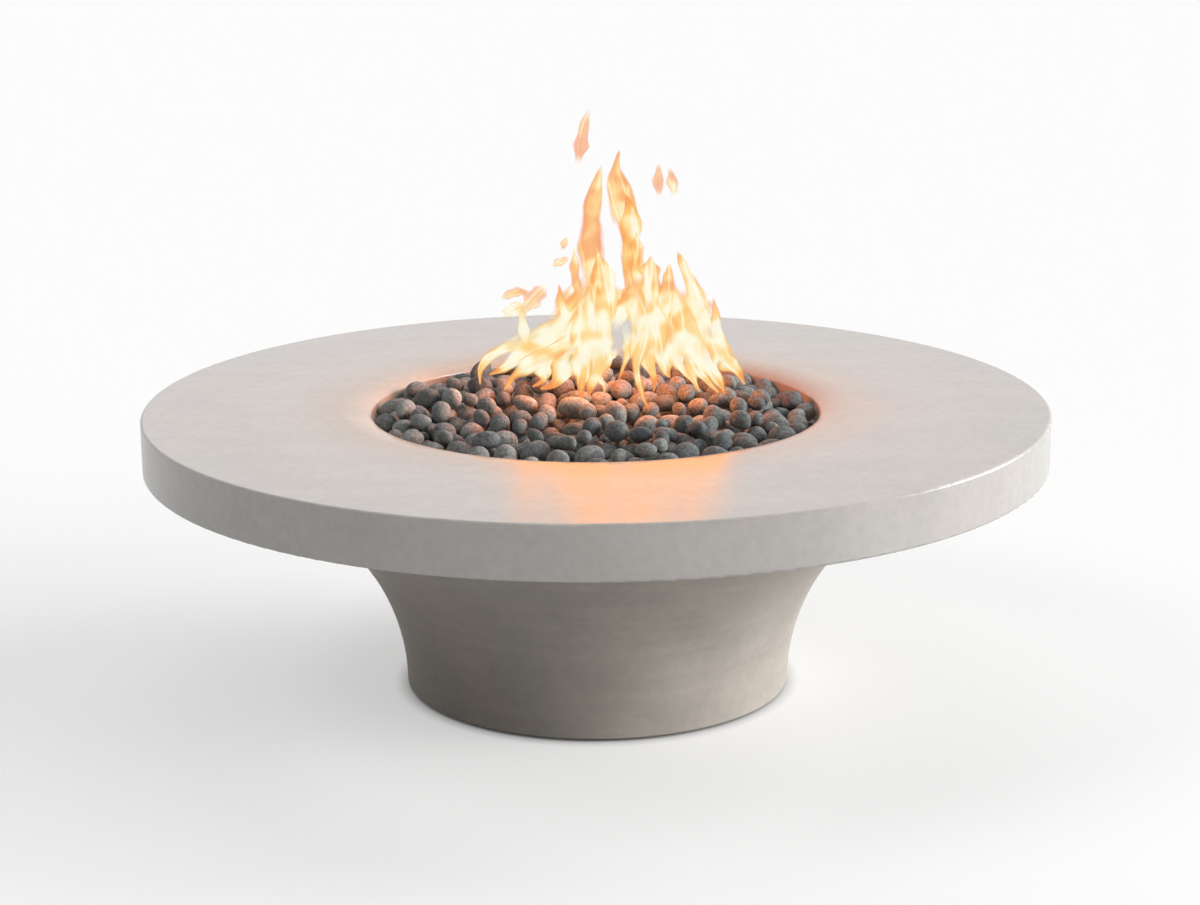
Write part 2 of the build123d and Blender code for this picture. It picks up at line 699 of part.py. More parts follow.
def panel_screw_places(start):
    """Places of the panel's screws at a depth along Y."""
    across = NICHE_WIDTH - NICHE_LIP
    upright = NICHE_HEIGHT - NICHE_LIP
    corners = GridLocations(across, upright, 2, 2)
    return [Pos(0, start, NICHE_CENTRE_HEIGHT) * Pos(c.position.X, 0, c.position.Y) for c in corners]


def control_panel():
    """Sheet panel on the recess lip, with holes for the valve's neck, the igniter and the screws."""
    width = NICHE_WIDTH - 2 * PANEL_CLEARANCE
    height = NICHE_HEIGHT - 2 * PANEL_CLEARANCE
    panel = recess_block(width, height, NICHE_CORNER - PANEL_CLEARANCE, panel_back, PANEL_SHEET)
    screw_hole = rod(PANEL_SCREW_DIAMETER + 2 * BOLT_CLEARANCE, PANEL_SHEET)
    panel -= [place * REARWARD * screw_hole for place in panel_screw_places(panel_back)]
    for offset, diameter in ((VALVE_OFFSET, VALVE_NECK_DIAMETER), (IGNITER_OFFSET, IGNITER_DIAMETER)):
        panel -= control_axis(offset, panel_back) * rod(diameter + 2 * BOLT_CLEARANCE, PANEL_SHEET)
    return panel


def panel_screws():
    """Socket screws that hold the panel."""
    screw = rod(PANEL_SCREW_HEAD_DIAMETER, PANEL_SCREW_HEAD_HEIGHT)
    screw += Pos(0, 0, -PANEL_SCREW_LENGTH) * rod(PANEL_SCREW_DIAMETER, PANEL_SCREW_LENGTH)
    socket = hexagon(PANEL_SCREW_SOCKET, PANEL_SCREW_SOCKET_DEPTH)
    screw -= Pos(0, 0, PANEL_SCREW_HEAD_HEIGHT - PANEL_SCREW_SOCKET_DEPTH) * socket
    return group(place * REARWARD * screw for place in panel_screw_places(panel_face))


def panel_inserts():
    """Threaded sockets cast into the recess lip."""
    socket = sleeve(PANEL_INSERT_DIAMETER, PANEL_SCREW_DIAMETER + 2 * THREAD_CLEARANCE, PANEL_INSERT_LENGTH)
    return group(place * FORWARD * socket for place in panel_screw_places(panel_back))


def control_axis(offset, start):
    """Place on a control's axis, local Z pointing out of the recess."""
    return Pos(offset, start, CONTROL_HEIGHT) * REARWARD


# Gas valve and knob


def rotor_low():
    """Depth along Y of the rotor's inner end."""
    return valve_back + VALVE_CAP_PLUG + ROTOR_END_PLAY


def knob_back():
    """Depth along Y of the knob's back face at rest."""
    return panel_face + KNOB_GAP + KNOB_TRAVEL


def stem_low():
    """Depth along Y of the stem's inner end at rest."""
    return rotor_low() + ROTOR_LENGTH - STEM_IN_ROTOR


def stem_section(clearance):
    """Round section with one flat, so that the stem turns the rotor."""
    radius = STEM_DIAMETER / 2 + clearance
    flat = STEM_DIAMETER / 2 - STEM_FLAT + clearance
    return Circle(radius) - Pos(0, flat + radius) * Rectangle(2 * radius, 2 * radius)


def gas_valve():
    """Valve block with its threaded neck, rotor bore and gas ways."""
    low = Pos(VALVE_OFFSET, (valve_front + valve_back) / 2, CONTROL_HEIGHT - VALVE_BELOW)
    block = low * Box(VALVE_WIDTH, VALVE_DEPTH, VALVE_ABOVE + VALVE_BELOW, align=ON_BASE)
    neck_length = panel_face + VALVE_NECK_PROUD - valve_front
    block += control_axis(VALVE_OFFSET, valve_front) * rod(VALVE_NECK_DIAMETER, neck_length)
    bore_length = rotor_low() + ROTOR_LENGTH + ROTOR_END_PLAY - valve_back
    block -= control_axis(VALVE_OFFSET, valve_back) * rod(ROTOR_DIAMETER + 2 * RUNNING_CLEARANCE, bore_length)
    stem_hole = rod(STEM_DIAMETER + 2 * NECK_CLEARANCE, VALVE_DEPTH + neck_length)
    block -= control_axis(VALVE_OFFSET, valve_back) * stem_hole
    block -= inlet_place() * fitting_socket()
    block -= outlet_place() * fitting_socket()
    return block


def valve_cap():
    """Plug that closes the rotor's bore."""
    cap = hexagon(VALVE_CAP_FLATS, VALVE_CAP_HEIGHT)
    cap += Pos(0, 0, VALVE_CAP_HEIGHT) * rod(ROTOR_DIAMETER, VALVE_CAP_PLUG)
    return control_axis(VALVE_OFFSET, valve_back - VALVE_CAP_HEIGHT) * cap


def valve_nut():
    """Flat nut on the neck in front of the panel."""
    nut = hexagon(VALVE_NUT_FLATS, VALVE_NUT_HEIGHT)
    nut -= rod(VALVE_NECK_DIAMETER + 2 * THREAD_CLEARANCE, VALVE_NUT_HEIGHT)
    return control_axis(VALVE_OFFSET, panel_face) * nut


def valve_rotor():
    """Turning plug with a cross port and a flatted bore for the stem."""
    rotor = rod(ROTOR_DIAMETER, ROTOR_LENGTH)
    bore_low = ROTOR_LENGTH - STEM_IN_ROTOR - valve_spring_room()
    rotor -= Pos(0, 0, bore_low) * extrude(stem_section(RUNNING_CLEARANCE), ROTOR_LENGTH)
    port = Pos(0, 0, bore_low / 2) * Rot(90, 0, 0) * Cylinder(ROTOR_PORT / 2, ROTOR_DIAMETER)
    return control_axis(VALVE_OFFSET, rotor_low()) * (rotor - port)


def valve_spring_room():
    """Length of the sprung space behind the stem at rest: its travel and the closed coil."""
    return KNOB_TRAVEL + (VALVE_SPRING_TURNS + 1) * SPRING_WIRE


def coil_spring(room, diameter, turns):
    """Wire coil that stands in a round space of a given length."""
    radius = diameter / 2 - SPRING_WIRE / 2 - SPRING_CLEARANCE
    height = room - SPRING_WIRE - 2 * RUNNING_CLEARANCE
    helix = Helix(pitch=height / turns, height=height, radius=radius)
    section = Plane(origin=helix @ 0, z_dir=helix % 0) * Circle(SPRING_WIRE / 2)
    coil = sweep(section, path=helix, is_frenet=True)
    return Pos(0, 0, SPRING_WIRE / 2 + RUNNING_CLEARANCE) * coil


def valve_spring():
    """Coil that pushes the stem and knob back out."""
    room = valve_spring_room()
    spring = coil_spring(room, STEM_DIAMETER - 2 * STEM_FLAT, VALVE_SPRING_TURNS)
    return control_axis(VALVE_OFFSET, stem_low() - room) * spring


def valve_stem():
    """Flatted shaft from the rotor out to the knob."""
    length = knob_back() + STEM_IN_KNOB - stem_low()
    return control_axis(VALVE_OFFSET, stem_low()) * extrude(stem_section(0), length)


def control_knob():
    """Fluted knob with a hollow back that clears the valve's nut."""
    knob = rod(KNOB_DIAMETER, KNOB_LENGTH)
    front_edge = knob.edges().filter_by(GeomType.CIRCLE).sort_by(Axis.Z)[-1]
    knob = fillet(front_edge, KNOB_EDGE)
    knob -= rod(KNOB_RECESS_DIAMETER, KNOB_RECESS_DEPTH)
    knob -= extrude(stem_section(THREAD_CLEARANCE), STEM_IN_KNOB)
    flute_circle = KNOB_DIAMETER / 2 + FLUTE_DIAMETER / 2 - FLUTE_DEPTH
    flute = Pos(0, 0, KNOB_LENGTH - FLUTE_LENGTH) * rod(FLUTE_DIAMETER, FLUTE_LENGTH)
    half_step = 180 / FLUTE_COUNT
    knob -= [place * flute for place in around(flute_circle, FLUTE_COUNT, half_step)]
    knob -= pointer_bar()
    return control_axis(VALVE_OFFSET, knob_back()) * knob


def pointer_bar():
    """Bar let into the knob's front face, pointing up at rest."""
    bar = Box(POINTER_WIDTH, POINTER_LENGTH, POINTER_DEPTH + POINTER_PROUD, align=ON_BASE)
    outer = KNOB_DIAMETER / 2 - KNOB_EDGE - FLUTE_DEPTH - POINTER_LENGTH / 2
    return Pos(0, -outer, KNOB_LENGTH - POINTER_DEPTH) * bar


def knob_pointer():
    """Pale pointer bar of the knob."""
    return control_axis(VALVE_OFFSET, knob_back()) * pointer_bar()


# Igniter


def igniter_barrel():
    """Threaded barrel with a front flange and a bore for the button."""
    low = panel_face - IGNITER_REACH
    barrel = rod(IGNITER_DIAMETER, IGNITER_REACH)
    barrel += Pos(0, 0, IGNITER_REACH) * rod(IGNITER_FLANGE_DIAMETER, IGNITER_FLANGE_THICKNESS)
    bore = rod(BUTTON_DIAMETER + 2 * RUNNING_CLEARANCE, BUTTON_LENGTH + button_spring_room())
    barrel -= Pos(0, 0, button_low() - button_spring_room() - low) * bore
    return control_axis(IGNITER_OFFSET, low) * barrel


def button_low():
    """Depth along Y of the button's inner end at rest."""
    return panel_face + IGNITER_FLANGE_THICKNESS + BUTTON_PROUD - BUTTON_LENGTH


def button_spring_room():
    """Length of the sprung space behind the button at rest: its travel and the closed coil."""
    return BUTTON_TRAVEL + (IGNITER_SPRING_TURNS + 1) * SPRING_WIRE


def igniter_nut():
    """Nut behind the panel on the igniter's barrel."""
    nut = hexagon(IGNITER_NUT_FLATS, IGNITER_NUT_HEIGHT)
    nut -= rod(IGNITER_DIAMETER + 2 * THREAD_CLEARANCE, IGNITER_NUT_HEIGHT)
    return control_axis(IGNITER_OFFSET, panel_back - IGNITER_NUT_HEIGHT) * nut


def igniter_button():
    """Push button that slides in the barrel."""
    button = rod(BUTTON_DIAMETER, BUTTON_LENGTH)
    front_edge = button.edges().filter_by(GeomType.CIRCLE).sort_by(Axis.Z)[-1]
    return control_axis(IGNITER_OFFSET, button_low()) * fillet(front_edge, BUTTON_EDGE)


def igniter_spring():
    """Coil behind the button."""
    room = button_spring_room()
    spring = coil_spring(room, BUTTON_DIAMETER, IGNITER_SPRING_TURNS)
    return control_axis(IGNITER_OFFSET, button_low() - room) * spring


# Pilot assembly


def pilot_height():
    """Height of the pilot box above the pan's floor."""
    return stone_floor - pan_floor - PILOT_TOP_MARGIN


def pilot_sides():
    """Places across X of the electrode and the thermocouple."""
    return PILOT_SPACING / 2, -PILOT_SPACING / 2


def pilot_box():
    """Slotted sheet box that keeps the stones off the electrode and the thermocouple."""
    outside = Box(PILOT_WIDTH, PILOT_DEPTH, pilot_height(), align=ON_BASE)
    inner_width = PILOT_WIDTH - 2 * PILOT_SHEET
    inner_depth = PILOT_DEPTH - 2 * PILOT_SHEET
    inside = Box(inner_width, inner_depth, pilot_height() - PILOT_SHEET, align=ON_BASE)
    pitch = PILOT_WIDTH / (PILOT_SLOT_COUNT + 1)
    slot = Box(PILOT_SLOT_WIDTH, PILOT_DEPTH - 2 * pitch, pilot_height() + PILOT_SHEET, align=ON_BASE)
    first = -PILOT_WIDTH / 2 + pitch
    slots = [Pos(first + step * pitch, 0, 0) * slot for step in range(PILOT_SLOT_COUNT)]
    return Pos(0, pilot_radius, pan_floor) * (outside - inside - slots)


def pilot_place(side):
    """Place on the underside of a pilot piece, below the pan."""
    return Pos(side, pilot_radius, pan_bottom - INSULATOR_BELOW_PAN)


def electrode_insulator():
    """Ceramic sleeve of the electrode, standing through the pan's floor."""
    ceramic = sleeve(INSULATOR_DIAMETER, ELECTRODE_DIAMETER + 2 * THREAD_CLEARANCE, INSULATOR_LENGTH)
    return pilot_place(pilot_sides()[0]) * ceramic


def igniter_electrode():
    """Spark rod in its ceramic sleeve."""
    return pilot_place(pilot_sides()[0]) * rod(ELECTRODE_DIAMETER, ELECTRODE_LENGTH)


def igniter_wire():
    """Lead from the igniter's inner end up to the electrode."""
    side = pilot_sides()[0]
    start = panel_face - IGNITER_REACH
    points = [
        (IGNITER_OFFSET, start, CONTROL_HEIGHT),
        (IGNITER_OFFSET, pilot_radius, CONTROL_HEIGHT),
        (side, pilot_radius, (CONTROL_HEIGHT + pan_bottom) / 2),
        (side, pilot_radius, pan_bottom - INSULATOR_BELOW_PAN),
    ]
    return swept_tube(points, LEAD_BEND_RADIUS, LEAD_DIAMETER, 0)


def thermocouple():
    """Flame sensor with its lead down to the top of the valve."""
    side = pilot_sides()[1]
    valve_middle = (valve_front + valve_back) / 2
    top = CONTROL_HEIGHT + VALVE_ABOVE
    points = [
        (VALVE_OFFSET, valve_middle, top),
        (VALVE_OFFSET, valve_middle, (top + pan_bottom) / 2),
        (side, pilot_radius, (top + 2 * pan_bottom) / 3),
        (side, pilot_radius, pan_bottom - INSULATOR_BELOW_PAN),
    ]
    lead = swept_tube(points, LEAD_BEND_RADIUS, LEAD_DIAMETER, 0)
    return lead + pilot_place(side) * rod(THERMOCOUPLE_DIAMETER, THERMOCOUPLE_LENGTH)


# Lava stones


def spread_layer(rng, cover, reach, level):
    """One layer of stones on a sunflower spiral: centres, half lengths, half widths and long axes."""
    radius = reach * (bowl_radius - STONE_LENGTH_MIN / 2)
    mean_length = (STONE_LENGTH_MIN + STONE_LENGTH_MAX) / 4
    mean_slim = mean_length * (STONE_SLIM_MIN + STONE_SLIM_MAX) / 2
    count = int(cover * (reach * bowl_radius) ** 2 / (mean_length * mean_slim))
    half_length = rng.uniform(STONE_LENGTH_MIN, STONE_LENGTH_MAX, count) / 2
    half_width = half_length * rng.uniform(STONE_SLIM_MIN, STONE_SLIM_MAX, count)
    yaw = rng.uniform(0, 2 * pi, count)
    tilt = np.radians(rng.normal(0, STONE_TILT, count))
    axis = np.stack([np.cos(tilt) * np.cos(yaw), np.cos(tilt) * np.sin(yaw), np.sin(tilt)], axis=1)
    step = np.arange(count) + 0.5
    golden_turn = pi * (3 - sqrt(5))
    out = radius * np.sqrt(step / count)
    height = np.full(count, stone_floor + mean_slim + level * 2 * mean_slim)
    centre = np.stack([out * np.cos(step * golden_turn), out * np.sin(step * golden_turn), height], axis=1)
    return centre, half_length, half_width, axis


def reach_along(shape, normal):
    """Half extent of ellipsoids along unit normals."""
    return np.sqrt(np.einsum("ki,kij,kj->k", normal, shape, normal))


def contact(first, second, offset):
    """Contact normals from the first ellipsoids to the second, and the gaps along them."""
    line = offset / np.linalg.norm(offset, axis=1)[:, None]
    near = reach_along(first, line)
    far = reach_along(second, line)
    share = (near / (near + far))[:, None, None]
    normal = np.linalg.solve((1 - share) * first + share * second, offset[:, :, None])[:, :, 0]
    normal /= np.linalg.norm(normal, axis=1)[:, None]
    gap = np.einsum("ki,ki->k", offset, normal) - reach_along(first, normal) - reach_along(second, normal)
    return normal, gap


def keep_in_bowl(centre, shape):
    """Hold stones inside the bowl's wall and above its floor."""
    out = np.linalg.norm(centre[:, :2], axis=1)
    radial = np.zeros_like(centre)
    radial[:, :2] = centre[:, :2] / out[:, None]
    limit = bowl_radius - 2 * STONE_GAP - reach_along(shape, radial)
    centre[:, :2] *= np.minimum(1, limit / out)[:, None]
    centre[:, 2] = np.maximum(centre[:, 2], stone_floor + STONE_GAP + np.sqrt(shape[:, 2, 2]))


def close_pairs(centre, half_length):
    """Index pairs of stones near enough to touch."""
    distance = np.linalg.norm(centre[:, None, :] - centre[None, :, :], axis=2)
    near = distance < half_length[:, None] + half_length[None, :] + STONE_LENGTH_MIN / 2
    return np.nonzero(np.triu(near, k=1))


def shake_down(centre, half_length, shape):
    """Let the stones sink and push each other aside until they fit in the bowl."""
    for step in range(SETTLE_STEPS):
        if step % PAIRS_EVERY == 0:
            first, second = close_pairs(centre, half_length)
        centre[:, 2] -= SETTLE_DROP * (1 - step / SETTLE_STEPS)
        normal, gap = contact(shape[first], shape[second], centre[second] - centre[first])
        push = np.maximum(0, STONE_GAP + SETTLE_SLACK - gap)
        touching = (push > 0).astype(float)
        move = np.zeros_like(centre)
        count = np.ones(len(centre))
        np.add.at(move, first, -normal * push[:, None])
        np.add.at(move, second, normal * push[:, None])
        np.add.at(count, first, touching / 2)
        np.add.at(count, second, touching / 2)
        centre += move / count[:, None]
        keep_in_bowl(centre, shape)


def heap_top(out):
    """Highest level that the heap reaches at a distance from the middle."""
    crown = (HEAP_RISE - HEAP_RIM_RISE) * (1 - (out / bowl_radius) ** 2)
    return TABLE_HEIGHT + HEAP_RIM_RISE + crown


def seat_stones(centre, half_length, shape):
    """Set the stones down one by one, lowest first, and leave out those that stand above the heap."""
    placed = []
    for index in np.argsort(centre[:, 2]):
        half_height = sqrt(shape[index, 2, 2])
        lowest = stone_floor + STONE_GAP + half_height
        reach = half_length[index] + STONE_LENGTH_MAX / 2 + STONE_GAP
        near = [other for other in placed if np.linalg.norm(centre[other, :2] - centre[index, :2]) < reach]

        def is_clear(height):
            place = np.array([centre[index, 0], centre[index, 1], height])
            mine = np.repeat(shape[index][None], len(near), axis=0)
            return not near or contact(mine, shape[near], centre[near] - place)[1].min() >= STONE_GAP

        height = max(lowest, centre[index, 2])
        while not is_clear(height):
            height += STONE_GAP
        while height - SEAT_STEP > lowest and is_clear(height - SEAT_STEP):
            height -= SEAT_STEP
        centre[index, 2] = height
        if height + half_height < heap_top(np.linalg.norm(centre[index, :2])):
            placed.append(index)
    return placed


def stone_solid(centre, half_length, half_width, axis):
    """Smooth tumbled stone: an ellipse turned about its long axis."""
    side = EllipticalCenterArc((0, 0), half_width, half_length, -90, arc_size=180)
    outline = side + Line((0, half_length), (0, -half_length))
    place = Plane(origin=tuple(centre), z_dir=tuple(axis)).location
    return place * lathe(outline)


def lava_stones():
    """Loose stones that fill the bowl, as a list of solids for each layer."""
    rng = np.random.default_rng(STONE_SEED)
    layers = [
        spread_layer(rng, cover, reach, level)
        for level, (cover, reach) in enumerate(zip(LAYER_COVER, LAYER_REACH))
    ]
    owner = np.concatenate([np.full(len(layer[1]), level) for level, layer in enumerate(layers)])
    centre, half_length, half_width, axis = (np.concatenate(values) for values in zip(*layers))
    round_part = (half_width ** 2)[:, None, None] * np.eye(3)
    long_part = (half_length ** 2 - half_width ** 2)[:, None, None] * axis[:, :, None] * axis[:, None, :]
    shape = round_part + long_part
    shake_down(centre, half_length, shape)
    layers = [[] for name in STONE_LAYERS]
    for index in seat_stones(centre, half_length, shape):
        stone = stone_solid(centre[index], half_length[index], half_width[index], axis[index])
        layers[owner[index]].append(stone)
    print("stones in each layer", [len(layer) for layer in layers])
    return layers


# All nodes

NODES = (
    table_top, pedestal, bearing_gasket, slab_inserts, top_washers, top_bolts, foot_inserts,
    burner_pan, burner, burner_supports, lava_granule_bed, burner_inlet, pan_locknut, air_mixer, air_shutter,
    gas_orifice, gas_inlet_fitting, valve_outlet_fitting, hose_nuts, burner_hose,
    control_panel, panel_screws, panel_inserts, gas_valve, valve_cap, valve_nut, valve_rotor, valve_spring,
    valve_stem, control_knob, knob_pointer, igniter_barrel, igniter_nut, igniter_button, igniter_spring,
    pilot_box, electrode_insulator, igniter_electrode, igniter_wire, thermocouple,
)


def write_parts():
    """Write one file for each node."""
    os.makedirs("parts", exist_ok=True)
    for make in NODES:
        export_step(make(), f"parts/{make.__name__}.step")
    for number, place in enumerate(foot_places(), start=1):
        export_step(foot_pad(place), f"parts/foot_pad_{number}.step")
        export_step(foot_stud(place), f"parts/foot_stud_{number}.step")
    for name, stones in zip(STONE_LAYERS, lava_stones()):
        export_step(group(stones), f"parts/lava_stones_{name}.step")


write_parts()
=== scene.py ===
import json
import math

import bmesh
import bpy
import numpy as np
from mathutils import Matrix, Vector

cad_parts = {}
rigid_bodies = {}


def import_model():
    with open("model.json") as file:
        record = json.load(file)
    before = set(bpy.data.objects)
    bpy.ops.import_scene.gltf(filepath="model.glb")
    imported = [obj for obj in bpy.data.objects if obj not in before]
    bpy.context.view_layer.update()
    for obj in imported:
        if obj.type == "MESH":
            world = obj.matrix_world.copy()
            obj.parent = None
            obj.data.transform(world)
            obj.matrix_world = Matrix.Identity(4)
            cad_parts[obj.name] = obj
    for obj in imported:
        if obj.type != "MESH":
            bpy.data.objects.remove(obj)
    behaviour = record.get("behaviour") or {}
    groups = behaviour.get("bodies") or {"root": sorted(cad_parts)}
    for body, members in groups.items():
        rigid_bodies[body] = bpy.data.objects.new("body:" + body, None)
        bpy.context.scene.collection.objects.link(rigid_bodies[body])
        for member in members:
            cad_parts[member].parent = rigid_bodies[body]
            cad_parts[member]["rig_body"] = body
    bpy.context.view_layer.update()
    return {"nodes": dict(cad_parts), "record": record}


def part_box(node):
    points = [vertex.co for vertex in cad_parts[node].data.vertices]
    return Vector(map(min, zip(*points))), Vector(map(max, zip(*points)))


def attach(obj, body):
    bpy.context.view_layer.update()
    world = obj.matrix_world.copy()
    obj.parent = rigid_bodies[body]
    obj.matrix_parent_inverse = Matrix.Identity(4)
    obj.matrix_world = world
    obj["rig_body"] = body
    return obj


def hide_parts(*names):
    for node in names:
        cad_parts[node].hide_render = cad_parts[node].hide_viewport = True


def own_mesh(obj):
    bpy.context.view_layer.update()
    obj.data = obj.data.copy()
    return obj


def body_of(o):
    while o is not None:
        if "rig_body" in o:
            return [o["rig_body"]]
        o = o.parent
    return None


# Looks of the round gas fire table, in metres. The photograph looks along +Y.

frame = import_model()

# Camera of the photograph: focal length in pixels of its width, place and angles in radians
PHOTO_WIDTH = 1200
PHOTO_HEIGHT = 905
FOCAL_PIXELS = 2606.0
SENSOR_WIDTH = 36.0
CAMERA_PLACE = Vector((0.0, -3.9515, 1.3744))
CAMERA_YAW = 0.0015
CAMERA_PITCH = 0.2494
CAMERA_ROLL = -0.0058

# Stage: half width and tone of the floor, the white added to it for the eye, the reach of the painted
# contact shadow where something stands on it, and the white of the background
FLOOR_HALF = 40.0
FLOOR_TONE = (0.52, 0.52, 0.5174, 1.0)
FLOOR_LIFT = 0.503
CONTACT_SHADOW_REACH = 0.025
SEEN_WHITE = 0.97

# Studio lamps: azimuth from the camera's side towards +X, elevation, strength and spread, angles in degrees
STUDIO_LIGHTS = {
    "right": (88.0, 15.0, 2.1, 26.0),
    "front_right": (65.0, 25.0, 0.43, 30.0),
    "front_right_low": (60.0, 10.0, 0.86, 30.0),
    "front": (0.0, 35.0, 0.32, 60.0),
    "left": (-80.0, 48.0, 0.66, 32.0),
    "right_rear": (115.0, 30.0, 1.3, 30.0),
    "rear": (175.0, 50.0, 0.85, 50.0),
}

# The lamps that also shine in reflections, for the bright line on the rim's edge
SHINING_LIGHTS = ("right",)

# Warm lamps inside the flame: place, energy and colour of each
GLOW_RADIUS = 0.03
HEART_COLOUR = (1.0, 0.14, 0.01)
FOOT_COLOUR = (1.0, 0.3, 0.07)
GLOW_LAMPS = {
    "heart": ((0.03, 0.0, 0.62), 2.5, HEART_COLOUR),
    "foot_1": ((-0.11, -0.03, 0.53), 0.2, FOOT_COLOUR),
    "foot_2": ((-0.04, -0.07, 0.53), 0.45, FOOT_COLOUR),
    "foot_3": ((0.05, -0.08, 0.53), 0.45, FOOT_COLOUR),
    "foot_4": ((0.14, -0.05, 0.53), 0.45, FOOT_COLOUR),
    "foot_5": ((0.02, 0.1, 0.53), 0.45, FOOT_COLOUR),
}

# Lava stones: decimals to which the vertices of one solid agree, steps of the sphere that each stone starts
# as, its lumps and shares of its half size, and the two powers that spread the stones' tones
STONE_SEED = 11
WELD_DIGITS = 5
STONE_SPHERE_STEPS = 3
STONE_LUMPS = 7
STONE_LUMP_WAVES = 2.2
STONE_LUMP_DEPTH = 0.045
STONE_EGG = 0.14
STONE_FLATTEN = 0.12
STONE_TONE_POWERS = (1.6, 2.2)

# Granule bed: size of a cell, how many times more sides than rings it has, and depth of its relief
BED_SEED = 5
BED_CELL = 0.004
BED_SIDES = 4
BED_RELIEF = 0.0044

# Flame: points along and across a tongue, height of its feet, share of its depth that is left at its tip,
# power of its swelling, depth and number of its ripples, spread of its noise, heat of a leg's foot, and the
# share of a leg's length at which it has all its heat
FLAME_SEED = 23
FLAME_STEPS = 34
FLAME_ACROSS = 9
FLAME_FOOT = 0.47
FLAME_TIP_DEPTH = 0.2
FLAME_SWELL = 1.5
FLAME_RIPPLE = 0.16
FLAME_RIPPLES = (1.5, 3.0)
FLAME_NOISE_SPREAD = 100
LEG_HEAT = 0.1
LEG_HEATED_FROM = 0.6

# Each tongue's half width in pixels of the photograph, the place of its widest point as a share of its
# length, and its points from root to tip in pixels. Legs stand on the stones, the rest floats
FLAME_TONGUES = {
    "tall": (
        (14, 0.45, ((588, 345), (592, 285), (590, 240), (590, 208), (602, 163))),
        (11, 0.40, ((640, 330), (634, 275), (627, 232), (618, 190), (616, 168), (620, 148))),
        (8, 0.50, ((634, 285), (630, 245), (631, 218), (626, 193))),
        (6, 0.50, ((638, 285), (637, 255), (636, 230))),
        (12, 0.40, ((604, 340), (604, 300), (602, 275), (598, 250))),
        (9, 0.60, ((652, 310), (651, 280), (650, 255))),
        (11, 0.40, ((672, 335), (670, 300), (669, 261))),
        (11, 0.40, ((706, 340), (698, 310), (690, 284), (677, 250))),
        (5, 0.30, ((726, 356), (717, 332), (716, 316), (713, 296))),
        (5, 0.50, ((580, 300), (575, 275), (574, 247))),
        (5, 0.40, ((567, 320), (561, 303), (559, 283))),
        (4, 0.40, ((527, 348), (523, 325), (522, 302))),
    ),
    "body": (
        (16, 0.50, ((548, 365), (562, 335), (578, 305), (588, 275))),
        (15, 0.50, ((590, 372), (592, 340), (594, 310), (598, 280))),
        (15, 0.50, ((618, 325), (612, 315), (606, 300), (602, 280))),
        (15, 0.50, ((650, 370), (650, 340), (644, 312), (636, 285))),
        (17, 0.50, ((672, 372), (670, 340), (672, 310), (676, 285))),
        (18, 0.50, ((704, 372), (700, 345), (692, 315), (684, 290))),
        (10, 0.50, ((722, 366), (716, 348), (708, 330))),
        (17, 0.50, ((510, 366), (530, 352), (552, 342), (578, 326))),
        (9, 0.50, ((552, 340), (562, 318), (576, 298), (588, 280))),
        (9, 0.50, ((612, 332), (624, 312), (636, 294), (640, 276))),
        (8, 0.50, ((655, 330), (658, 305), (655, 285))),
    ),
    "legs": (
        (7, 0.60, ((480, 385), (481, 368), (492, 354), (515, 344), (545, 330))),
        (10, 0.60, ((489, 375), (505, 367), (525, 352), (545, 336))),
        (10, 0.60, ((504, 390), (513, 377), (530, 362), (540, 340))),
        (9, 0.65, ((532, 387), (543, 380), (544, 364), (560, 342))),
        (10, 0.65, ((540, 389), (555, 383), (566, 362), (580, 338))),
        (10, 0.65, ((582, 400), (581, 384), (585, 362), (592, 325))),
        (9, 0.65, ((588, 398), (592, 382), (600, 360), (600, 325))),
        (4, 0.50, ((604, 396), (604, 386), (597, 376), (592, 360))),
        (5, 0.60, ((609, 369), (611, 358), (619, 347))),
        (6, 0.60, ((618, 382), (623, 368), (630, 345), (622, 318))),
        (9, 0.70, ((649, 409), (641, 392), (636, 368), (642, 338), (642, 305))),
        (6, 0.60, ((654, 392), (654, 378), (647, 358), (648, 335))),
        (12, 0.55, ((670, 378), (664, 366), (664, 345), (668, 310))),
        (5, 0.65, ((698, 392), (690, 377), (677, 362), (672, 340))),
        (5, 0.65, ((700, 392), (692, 375), (684, 360))),
        (9, 0.65, ((719, 393), (706, 379), (694, 362), (688, 335))),
        (10, 0.65, ((725, 394), (719, 381), (708, 362), (704, 335))),
        (8, 0.60, ((745, 385), (738, 372), (726, 360), (714, 340))),
        (12, 0.60, ((545, 372), (552, 355), (566, 335))),
        (12, 0.60, ((575, 368), (582, 350), (590, 325))),
        (12, 0.60, ((645, 368), (642, 350), (640, 325))),
        (12, 0.60, ((676, 370), (672, 350), (668, 328))),
        (10, 0.60, ((702, 373), (696, 355), (688, 335))),
    ),
    "wisps": (
        (7, 0.40, ((577, 165), (581, 140), (590, 105))),
        (6, 0.50, ((660, 198), (658, 180), (659, 161))),
        (6, 0.50, ((675, 197), (673, 182), (669, 166))),
        (6, 0.45, ((500, 299), (513, 293), (531, 291))),
        (6, 0.50, ((501, 315), (512, 310), (527, 304))),
        (9, 0.50, ((522, 314), (533, 300), (547, 285))),
        (3, 0.40, ((563, 250), (564, 244), (567, 236))),
        (4, 0.40, ((552, 267), (560, 262), (570, 257))),
    ),
}

